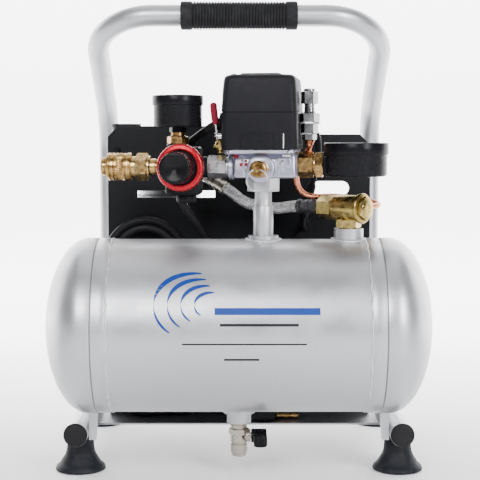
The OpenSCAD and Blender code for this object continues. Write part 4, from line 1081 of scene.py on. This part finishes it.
def make_dial_marks(name, x, z, r, labels):
    parts, count = [], 5 * (len(labels) - 1)
    for i in range(count + 1):
        a = math.radians(-135 - 270 * i / count)
        long = 2.6 if i % 5 == 0 else 1.5
        place = HEAD @ Matrix.Translation((x, 0, 0)) @ Matrix.Rotation(a, 4, "Z")
        wide = 0.32 if i % 5 == 0 else 0.16
        parts.append(rounded_box((r - 1.4 - long, -wide, z), (r - 1.4, wide, z + 0.09), 0.02, 1, place))
    for i, label in enumerate(labels):
        a = math.radians(-135 - 270 * i / (len(labels) - 1))
        d = r - 6.6
        parts.append(numeral_mesh(label, (x + d * math.cos(a), d * math.sin(a)), 2.5, z, HEAD))
    new_piece(name, joined(*parts), INK, angle=40)


def gauge_profile(z0, z1, r, bezel, stem):
    """Section of a gauge's case: its back at z0, its face at z1, and a bezel of a given depth."""
    return [(0, z0 + 3), (r - 2.55, z0 + 3), (r - 2.55, z1 - 1.5), (r - 2.2, z1 - 0.9), (r - 1.7, z1 - 0.25),
            (r - 1.0, z1 - 0.02), (r - 0.35, z1 - 0.25), (r, z1 - 0.9), (r, z1 - bezel + 1.2),
            (r - 0.25, z1 - bezel + 0.5), (r - 0.8, z1 - bezel + 0.2), (r - 1.0, z1 - bezel - 0.4),
            (r - 1.0, z0 + 2.2), (r - 1.3, z0 + 0.9),
            (r - 2.2, z0 + 0.15), (r - 3.4, z0), (stem, z0), (0, z0)]


def make_gauges():
    case = joined(lathe_mesh(gauge_profile(275, 300, 20, 8, 6), OUTLET_LINE, 96),
                  hex_mesh(271, 275.3, 12, OUTLET_LINE))
    outlet = new_piece("outlet_gauge_can", case, CASE, angle=40)
    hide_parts("outlet_gauge_case")
    place = turn_to(Z, (TANK_GAUGE_X, 0, 0), HEAD)
    neck = block((-8, 8), (-8, 8), 0, [(65.8, 0.5), (66.2, 0), (68.4, 0)], 2, GAUGE_LINE, 4)
    case = joined(lathe_mesh(gauge_profile(237, 263, 25, 9.5, 8), place, 112), neck)
    tank = new_piece("tank_gauge_can", case, CASE, angle=40)
    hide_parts("tank_gauge_case")
    make_dial_marks("outlet_dial_marks", OUTLET_X, 294.01, 17.5, ("0", "2", "4", "6", "8", "10"))
    make_dial_marks("tank_dial_marks", TANK_GAUGE_X, 257.01, 22.5, ("0", "2", "4", "6", "8", "10", "12"))
    parts = [hex_mesh(46.6, 58.6, 18, GAUGE_LINE, 30),
             lathe_mesh([(0, 58), (7.4, 58), (7.4, 60.2), (0, 60.2)], GAUGE_LINE, 36),
             hex_mesh(59.6, 65.9, 19, GAUGE_LINE, 0, 0.98), hex_mesh(262.1, 268, 15, OUTLET_LINE),
             lathe_mesh([(0, 268), (6.2, 268), (5.4, 268.6), (5.4, 271), (0, 271)], OUTLET_LINE, 36)]
    fitting = new_piece("gauge_adapters", joined(*parts), BRASS, angle=30)
    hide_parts("gauge_fittings")


# ---- Coupler and safety valve ----------------------------------------------

def make_coupler():
    tube = [(4.2, -95), (4.2, -109), (4.8, -109.6), (6.7, -109.6), (7.3, -109.1), (7.4, -108.4),
            (7.4, -106.6),
            (6.9, -106.2), (6.9, -105.6), (7.4, -105.2), (7.4, -102.8), (8.15, -102.8), (8.15, -81.6),
            (0.01, -81.6),
            (0.01, -95)]
    tail = [(0, -70.7), (6.2, -70.7), (6.5, -70.2), (6.5, -66.2), (5.7, -65.8)]
    for i in range(5):
        tail += [(5.7, -65.4 + 1.5 * i), (6.3, -64.9 + 1.5 * i), (6.3, -64.6 + 1.5 * i),
                 (5.7, -64.1 + 1.5 * i)]
    tail += [(6.3, -57.4), (6.3, -57), (0, -57)]
    parts = [lathe_mesh(tube, PORT_LINE, 64, closed=True), hex_mesh(-81.7, -72.2, 19, PORT_LINE, 30),
             lathe_mesh([(0, -72.4), (8.8, -72.4), (8.8, -70.9), (8.3, -70.5), (0, -70.5)], PORT_LINE, 48),
             lathe_mesh(tail, PORT_LINE, 48)]
    body = new_piece("coupler_tube", joined(*parts), PALE_BRASS, angle=30)
    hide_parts("coupler_body")
    sleeve = [(8.27, -104.8), (9.9, -104.8), (10.7, -104.4), (11, -103.6), (11, -102.2), (10.25, -101.7),
              (10.25, -101.1), (11, -100.6), (11, -99), (10.25, -98.5), (10.25, -97.9), (10.85, -97.4),
              (10.85, -96.4),
              (10.8, -96.2), (10.8, -91.0), (10.85, -90.8), (10.85, -90), (10.2, -89.6), (10.2, -89),
              (10.95, -88.5),
              (10.95, -86.3), (10.6, -85.6), (10, -85.3), (8.27, -85.3)]
    mesh = fluted(lathe_mesh(sleeve, PORT_LINE, 160, closed=True), PORT_LINE, 40, 0.4, -96.3, -90.9)
    piece = new_piece("coupler_grip", mesh, PALE_BRASS, angle=34, body="coupler_sleeve")
    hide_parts("coupler_sleeve")


def make_safety_valve():
    front = [(2.75, -29), (2.75, -36.6), (3.3, -37), (5.3, -37), (6.1, -36.5), (6.45, -35.7), (6.45, -33.4),
             (6.0, -33),
             (6.0, -32.4), (6.45, -32), (6.45, -25.4), (6.0, -24.6), (6.0, -23.6), (0.01, -23.6), (0.01, -29)]
    parts = [lathe_mesh(front, SAFETY_LINE, 56, closed=True), hex_mesh(-24, -17.4, 13, SAFETY_LINE),
             lathe_mesh([(0, -17.6), (6.4, -17.6), (6.4, -17), (0, -17)], SAFETY_LINE, 40)]
    body = new_piece("safety_valve", joined(*parts), BRASS, angle=30)
    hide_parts("safety_valve_body")


# ---- Hose, tube, lead and check valve --------------------------------------

HOSE = [
    (49, 31, 212), (42, 37, 211), (29, 42, 209.5), (12, 45, 212), (3, 48, 215.5), (-6, 52, 222),
    (-14, 58, 227), (-21, 68, 231), (-26, 80, 233), (-28.2, 95, 235.5), (-29.8, 113, 239.5),
    (-30.5, 132, 241),
]
COPPER_TUBE = [
    (55, 1, 265), (55, 2, 260), (53, 8, 254), (49, 11, 247), (46, 13, 240), (46, 15, 232),
    (49, 17, 225), (55, 19, 221), (64, 21, 220), (75, 25, 220), (86, 33, 219), (95, 41.5, 217.5),
    (104, 44.5, 215.5), (110.4, 41.9, 214.2), (113, 35.5, 213), (110.9, 29.7, 212.3),
    (103.2, 20.6, 212), (95.6, 11.5, 212),
]
MOTOR_LEAD = [
    (48.5, 23.6, 276), (54, 23, 275.9), (60, 24.5, 272.5), (63.3, 27.5, 265), (63.8, 30.5, 255),
    (63, 33.5, 245), (61, 37, 236), (59, 41, 227), (56, 46, 216), (54, 51, 206), (53, 57, 197),
    (54, 65, 191.5),
    (56, 75, 190.5), (56.5, 86, 193.5), (55, 97, 197), (52, 106, 197.5), (50.3, 113.5, 191.5), (50, 120, 185),
]
HOSE_R = 4.75


def braid_mesh(path, radius, strand, pitch, count):
    """Two sets of thin strands wound round a path in opposite directions."""
    sides, lengths = sides_of(path), [0.0]
    for a, b in zip(path, path[1:]):
        lengths.append(lengths[-1] + (b - a).length)
    parts = []
    for way in (1, -1):
        for i in range(count):
            line = []
            for p, (n, b), s in zip(path, sides, lengths):
                a = way * 2 * math.pi * s / pitch + 2 * math.pi * i / count
                over = radius + strand * 0.35 * math.sin(count * s / pitch * 2 * math.pi + i * math.pi) * way
                line.append(p + over * (math.cos(a) * n + math.sin(a) * b))
            parts.append(tube_mesh(line, strand, 5, caps=False))
    return joined(*parts)


def sleeve_on(path, start, end, profile, sides=40):
    """Turned sleeve bent along part of a path: profile is [(place from 0 to 1, radius)]."""
    a, b = int(start * (len(path) - 1)), int(end * (len(path) - 1))
    part = path[a:b + 1]
    points, radii = [], []
    for t, r in profile:
        i = t * (len(part) - 1)
        k = min(int(i), len(part) - 2)
        points.append(part[k].lerp(part[k + 1], i - k))
        radii.append(r * MM)
    return tube_mesh(points, radii, sides)


def make_hose():
    fine = smooth_route(HOSE, 24, ROW)
    core = new_piece("hose_core", tube_mesh(fine[::4], (HOSE_R - 0.6) * MM, 24), FERRULE)
    braid = new_piece("hose_braid", braid_mesh(fine, (HOSE_R - 0.42) * MM, 0.36 * MM, 17 * MM, 14), BRAID)
    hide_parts("discharge_hose")
    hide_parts("discharge_hose")
    crimp = [(0, 4.7), (0.03, 5.5), (0.1, 5.75), (0.3, 5.75), (0.34, 5.35), (0.4, 5.35), (0.44, 5.75),
             (0.62, 5.75),
             (0.66, 5.35), (0.72, 5.35), (0.76, 5.75), (0.93, 5.75), (1, 5.0)]
    new_piece("hose_crimp", sleeve_on(fine, 0.50, 0.66, crimp), NICKEL, angle=40)
    start, valve = Vector(HOSE[0]), Vector((86, 0, 212))
    away = (start - valve).normalized()
    at = turn_to(away, valve, ROW)
    reach = (start - valve).length
    profile = [(0, 26.9), (4.6, 26.9), (5.0, 27.3), (5.0, 28.6), (5.65, 29.2), (5.65, reach - 13),
               (5.2, reach - 12.4),
               (5.2, reach - 11.4), (5.65, reach - 10.8), (5.65, reach - 5), (5.25, reach - 4.4),
               (5.25, reach - 3.4),
               (5.65, reach - 2.8), (5.65, reach + 0.2), (5.0, reach + 1), (4.4, reach + 1)]
    end = Vector(HOSE[-1])
    tail = [(4.4, -0.5), (5.2, -0.5), (5.75, 0), (5.75, 3.4), (5.3, 3.9), (5.3, 4.9), (5.75, 5.4),
            (5.75, 11.4),
            (5.2, 12), (0, 12)]
    ferrules = joined(lathe_mesh(profile, at, 40), lathe_mesh(tail, turn_to(Y, end, ROW), 40))
    piece = new_piece("hose_sleeves", ferrules, FERRULE, angle=35)
    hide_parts("hose_ferrules")


def make_check_valve():
    x, z, turn = 86, 212, math.radians(-40)
    along = Vector((math.cos(turn), math.sin(turn), 0))
    side = turn_to(along, (x, 0, z), ROW)
    across = turn_to(Vector((-along.y, along.x, 0)), (x, 0, z), ROW)
    up = turn_to(Z, (x, 0, 0), ROW)
    parts = [lathe_mesh([(0, -12), (8.6, -12), (9.6, -11.6), (10.3, -10.6), (10.3, 10.2), (10.0, 11),
                         (0, 11)],
                        side, 64),
             hex_mesh(-26, -12.6, 17, side, 30), lathe_mesh([(0, -13), (8.0, -13), (8.0, -11.8), (0, -11.8)],
                                                            side, 40),
             lathe_mesh([(0, -27), (5.6, -27), (6, -26.6), (6, -25.6), (0, -25.6)], side, 40),
             hex_mesh(196.5, 203.4, 17, up),
             lathe_mesh([(0, 196), (7, 196), (7, 197), (7.2, 203), (7.6, 204), (9.4, 206.4), (9.8, 209),
                         (0, 209)],
                        up, 48),
             lathe_mesh([(0, 8), (4.6, 8), (4.6, 12.6), (4.2, 13), (0, 13)],
                        across, 32),
             hex_mesh(10.4, 14.9, 9.6, across)]
    body = new_piece("check_valve", joined(*parts), VALVE_BRASS, angle=30)
    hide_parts("check_valve_body")
    cap = [lathe_mesh([(0, 11), (11.2, 11), (11.75, 11.4), (11.9, 12.2), (11.9, 13.1), (11.6, 13.7),
                       (11.0, 14),
                       (0, 14)], side, 72),
           hex_mesh(14, 17.5, 16.5, side, 30, 0.95),
           lathe_mesh([(0, 17.4), (6.9, 17.4), (6.6, 17.9), (5.6, 18.25), (3, 18.28), (2.6, 17.95),
                       (0, 17.95)],
                      side, 40)]
    piece = new_piece("check_valve_hex_cap", joined(*cap), VALVE_BRASS, angle=30)
    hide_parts("check_valve_cap")


def make_copper_tube():
    path = smooth_route(COPPER_TUBE, 8, ROW)
    tube = new_piece("copper_line", tube_mesh(path, 2.25 * MM, 20), COPPER)
    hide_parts("unloader_tube")
    nut = [(0, 2.3), (0.02, 3.3), (0.12, 3.9), (0.6, 3.9), (0.66, 3.2), (1, 3.0)]
    new_piece("copper_line_nut", sleeve_on(path, 0.0, 0.045, nut, 28), COPPER, angle=35)


def make_motor_lead():
    path = smooth_route(MOTOR_LEAD, 8, ROW)
    lead = new_piece("lead_cable", tube_mesh(path, 2.72 * MM, 18), PVC)
    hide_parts("motor_lead")
    boot = [(0, 2.8), (0.05, 3.6), (0.15, 3.9), (0.5, 3.9), (0.55, 3.4), (0.7, 3.4), (0.75, 3.8), (0.92, 3.8),
            (1, 2.9)]
    new_piece("lead_boot", sleeve_on(path, 0.40, 0.56, boot, 28), PLUG, angle=40)


def make_unloader():
    place = HEAD @ Matrix.Translation((54.61, 5.38, 0))
    up = turn_to(Z, (0, 0, 0), place)
    parts = [rounded_box((-7.1, -10, 277.5), (8.5, 10, 279), 0.4, 2, place),
             hex_mesh(279, 285.9, 14, up),
             lathe_mesh([(0, 285.8), (5.6, 285.8), (5.2, 286.6), (4.2, 287), (4.2, 290.4), (3.8, 290.7),
                         (3.8, 291.3),
                         (4.2, 291.6), (4.2, 293), (0, 293)], up, 32),
             hex_mesh(293, 302.9, 11.5, up),
             lathe_mesh([(0, 302.8), (4.5, 302.8), (4.5, 304.4), (3.9, 305), (0, 305)], up, 32),
             hex_mesh(270.1, 277.5, 12, up), hex_mesh(265, 270, 10, up)]
    piece = new_piece("pressure_release_valve", joined(*parts), CHROME, angle=30)
    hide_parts("unloader_valve")


def make_drain():
    up = turn_to(Z, (0, 0, 0), ROW)
    side = turn_to(X, (0, 0, 30.6), ROW)
    stem = [(3, 26), (3, 15.2), (3.5, 14.6), (5.0, 14.6), (5.6, 15.1), (5.6, 17), (6.2, 17.3), (6.6, 17.9),
            (6.6, 24.2),
            (6.1, 24.7), (6.1, 25.5), (6.6, 26), (6.6, 31.8), (0.01, 31.8), (0.01, 26)]
    parts = [lathe_mesh(stem, up, 48, closed=True), hex_mesh(31.8, 37, 14, up),
             lathe_mesh([(0, 36.8), (6, 36.8), (6.6, 37.4), (6.6, 39.6), (6.1, 40), (6.1, 40.6), (6.6, 41),
                         (6.6, 42),
                         (0, 42)], up, 48),
             lathe_mesh([(0, 0), (4.6, 0), (4.6, 7.9), (5, 8.1), (5, 8.9), (2.4, 9), (2.4, 11.9), (0, 11.9)],
                        side, 32)]
    piece = new_piece("drain_cock", joined(*parts), NICKEL, angle=32)
    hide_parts("drain_valve")
    hub = lathe_mesh([(2.45, 9.6), (4.9, 9.6), (5.4, 10.1), (5.5, 11), (5.5, 21), (4.9, 21.9), (0, 21.95)],
                     side, 40)
    wings = block((11.5, 22), (-22, 6), 26.1, [(0, 1.1), (0.5, 0.3), (1.3, 0), (7.7, 0), (8.5, 0.3),
                                               (9, 1.1)], 3.4,
                  ROW, 6)
    ribs = boxes(ROW, *(((21.6, -20 + 3 * i, 27.6), (22, -18.6 + 3 * i, 33.6), 0.15, 1) for i in range(4)))
    handle = new_piece("drain_knob", joined(hub, wings, *ribs), KNOB, angle=38,
                       body="drain_handle")
    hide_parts("drain_handle")


def make_gland():
    a, b = Vector(CORD_IN[0]), Vector((-7, 12, 282))
    at = turn_to(a - b, b, ROW)
    length = (a - b).length
    profile = [(0, 1.4), (4.9, 1.4)]
    for i in range(7):
        h = 4.4 + i * (length - 6.2) / 7
        r = 4.75 - 0.15 * i
        profile += [(r, h), (r, h + 1.5), (r - 0.62, h + 1.55), (r - 0.62, h + 2.2)]
    profile += [(CORD_D / 2 + 0.35, length - 1), (CORD_D / 2 + 0.02, length)]
    collar = lathe_mesh([(0, -16.2), (5.2, -16.2), (5.6, -15.8), (5.6, -13.4), (5.0, -13.2), (5.0, -11),
                         (0, -11)],
                        turn_to(X, (0, 9.4, 281), HEAD), 40)
    gland = new_piece("strain_relief", joined(lathe_mesh(profile, at, 36), collar), PVC,
                      angle=36)
    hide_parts("cord_gland")


# ---- Pump and motor --------------------------------------------------------

SHAFT = (0, 165, 140)    # the middle of the motor
MOTOR_R = 56
FAN_END = 100            # outer face of the fan cover


def bolt_ring(name, x, radius, count, head, height, axis, phase):
    """Screw heads in a ring round the shaft, on a face at x."""
    turns = [math.radians(phase) + 2 * math.pi * k / count for k in range(count)]
    places = [(x, SHAFT[1] + radius * math.cos(a), SHAFT[2] + radius * math.sin(a)) for a in turns]
    screw_heads(name, axis, places, ROW, head, height)


def make_pump():
    bolt_ring("crankcase_screws", -100, 36.4, 6, 2.3, 1.9, (-1, 0, 0), 30)
    turned("crankcase_lid", (-1, 0, 0), (-100, SHAFT[1], SHAFT[2]),
           [(33.2, -0.05), (33.2, 0.9), (32.4, 1.5), (24, 1.5), (22.5, 0.8), (9, 0.8), (8, 1.6), (0, 1.6)],
           ALUMINIUM)
    bolt_ring("fan_screws", FAN_END, 51.5, 4, 2.4, 1.8, (1, 0, 0), 45)
    turned("fan_rim", X, (FAN_END - 3, SHAFT[1], SHAFT[2]),
           [(MOTOR_R + 0.1, -6), (MOTOR_R + 0.8, -5.4), (MOTOR_R + 0.8, -1), (MOTOR_R + 0.1, -0.2)],
           ENAMEL)


def make_motor_ribs():
    """Cooling ribs along the motor's housing, apart from where the capacitor and the lead sit."""
    ribs = []
    for a in range(0, 360, 9):
        if 14 < a < 80 or 118 < a < 152 or 240 < a < 300:
            continue
        place = ROW @ Matrix.Translation(SHAFT) @ Matrix.Rotation(math.radians(a), 4, "X")
        ribs.append(rounded_box((-31, MOTOR_R - 0.4, -0.9), (61, MOTOR_R + 2.2, 0.9), 0.4, 2, place))
    new_piece("motor_ribs", joined(*ribs), ENAMEL, angle=40)
    for i, x in enumerate((-34.5, 63.5)):
        turned(f"motor_band_{i}", X, (x, SHAFT[1], SHAFT[2]),
               [(MOTOR_R - 0.2, -1.6), (MOTOR_R + 1.1, -1.3), (MOTOR_R + 1.3, 0), (MOTOR_R + 1.1, 1.3),
                (MOTOR_R - 0.2, 1.6)], ENAMEL)


def make_capacitor_strap():
    middle = (12, SHAFT[1] + 52, SHAFT[2] + 52)
    turned("capacitor_strap", X, middle,
           [(16.05, -6), (16.7, -5.8), (16.7, 5.8), (16.05, 6)], ZINC)
    turned("capacitor_seam", X, (39.5, middle[1], middle[2]),
           [(16.0, -1.2), (16.5, -0.7), (16.6, 0.4), (16.0, 1.4)], CAN)


def make_foot_bolts():
    """Hex heads over the four rubber mounts."""
    heads = []
    for x in (-57, 67):
        for y in (133, 197):
            place = ROW @ Matrix.Translation((x, y, 51))
            heads.append(lathe_mesh([(5.4, 0), (5.4, 0.9), (3.4, 1.0)], place, 32))
            heads.append(hex_mesh(0.9, 4.6, 8, place, crown=0.95))
    new_piece("mount_bolts", joined(*heads), ZINC, angle=30)


def make_panel_trim():
    """Grommets where the hose and the lead pass through the panel, and its screws."""
    for name, x, z, r in (("hose_grommet", -27.5, 234.2, 6.25), ("lead_grommet", 56.2, 193.8, 4.25)):
        turned(name, Y, (x, 88.75, z),
               [(r - 0.9, -1.6), (r + 1.4, -1.6), (r + 2.1, -0.8), (r + 2.1, 0.8), (r + 1.4, 1.6),
                (r - 0.9, 1.6)],
               RUBBER, closed=True)
    corners = [(x, 88, z) for x in (-104, 104) for z in (60, 256)]
    screw_heads("panel_screws", (0, -1, 0), corners, ROW, 3, 2, PANEL)


# ---- The whole scene -------------------------------------------------------

make_camera()
make_cord()
make_lights()
make_floor()
finish_nodes()
make_tank()
make_stripes()
make_grip()
make_feet()
make_cover()
make_lever()
make_manifold()
make_nipple()
make_regulator()
make_gauges()
make_coupler()
make_safety_valve()
make_hose()
make_check_valve()
make_copper_tube()
make_motor_lead()
make_unloader()
make_drain()
make_gland()
make_pump()
make_motor_ribs()
make_capacitor_strap()
make_foot_bolts()
make_panel_trim()
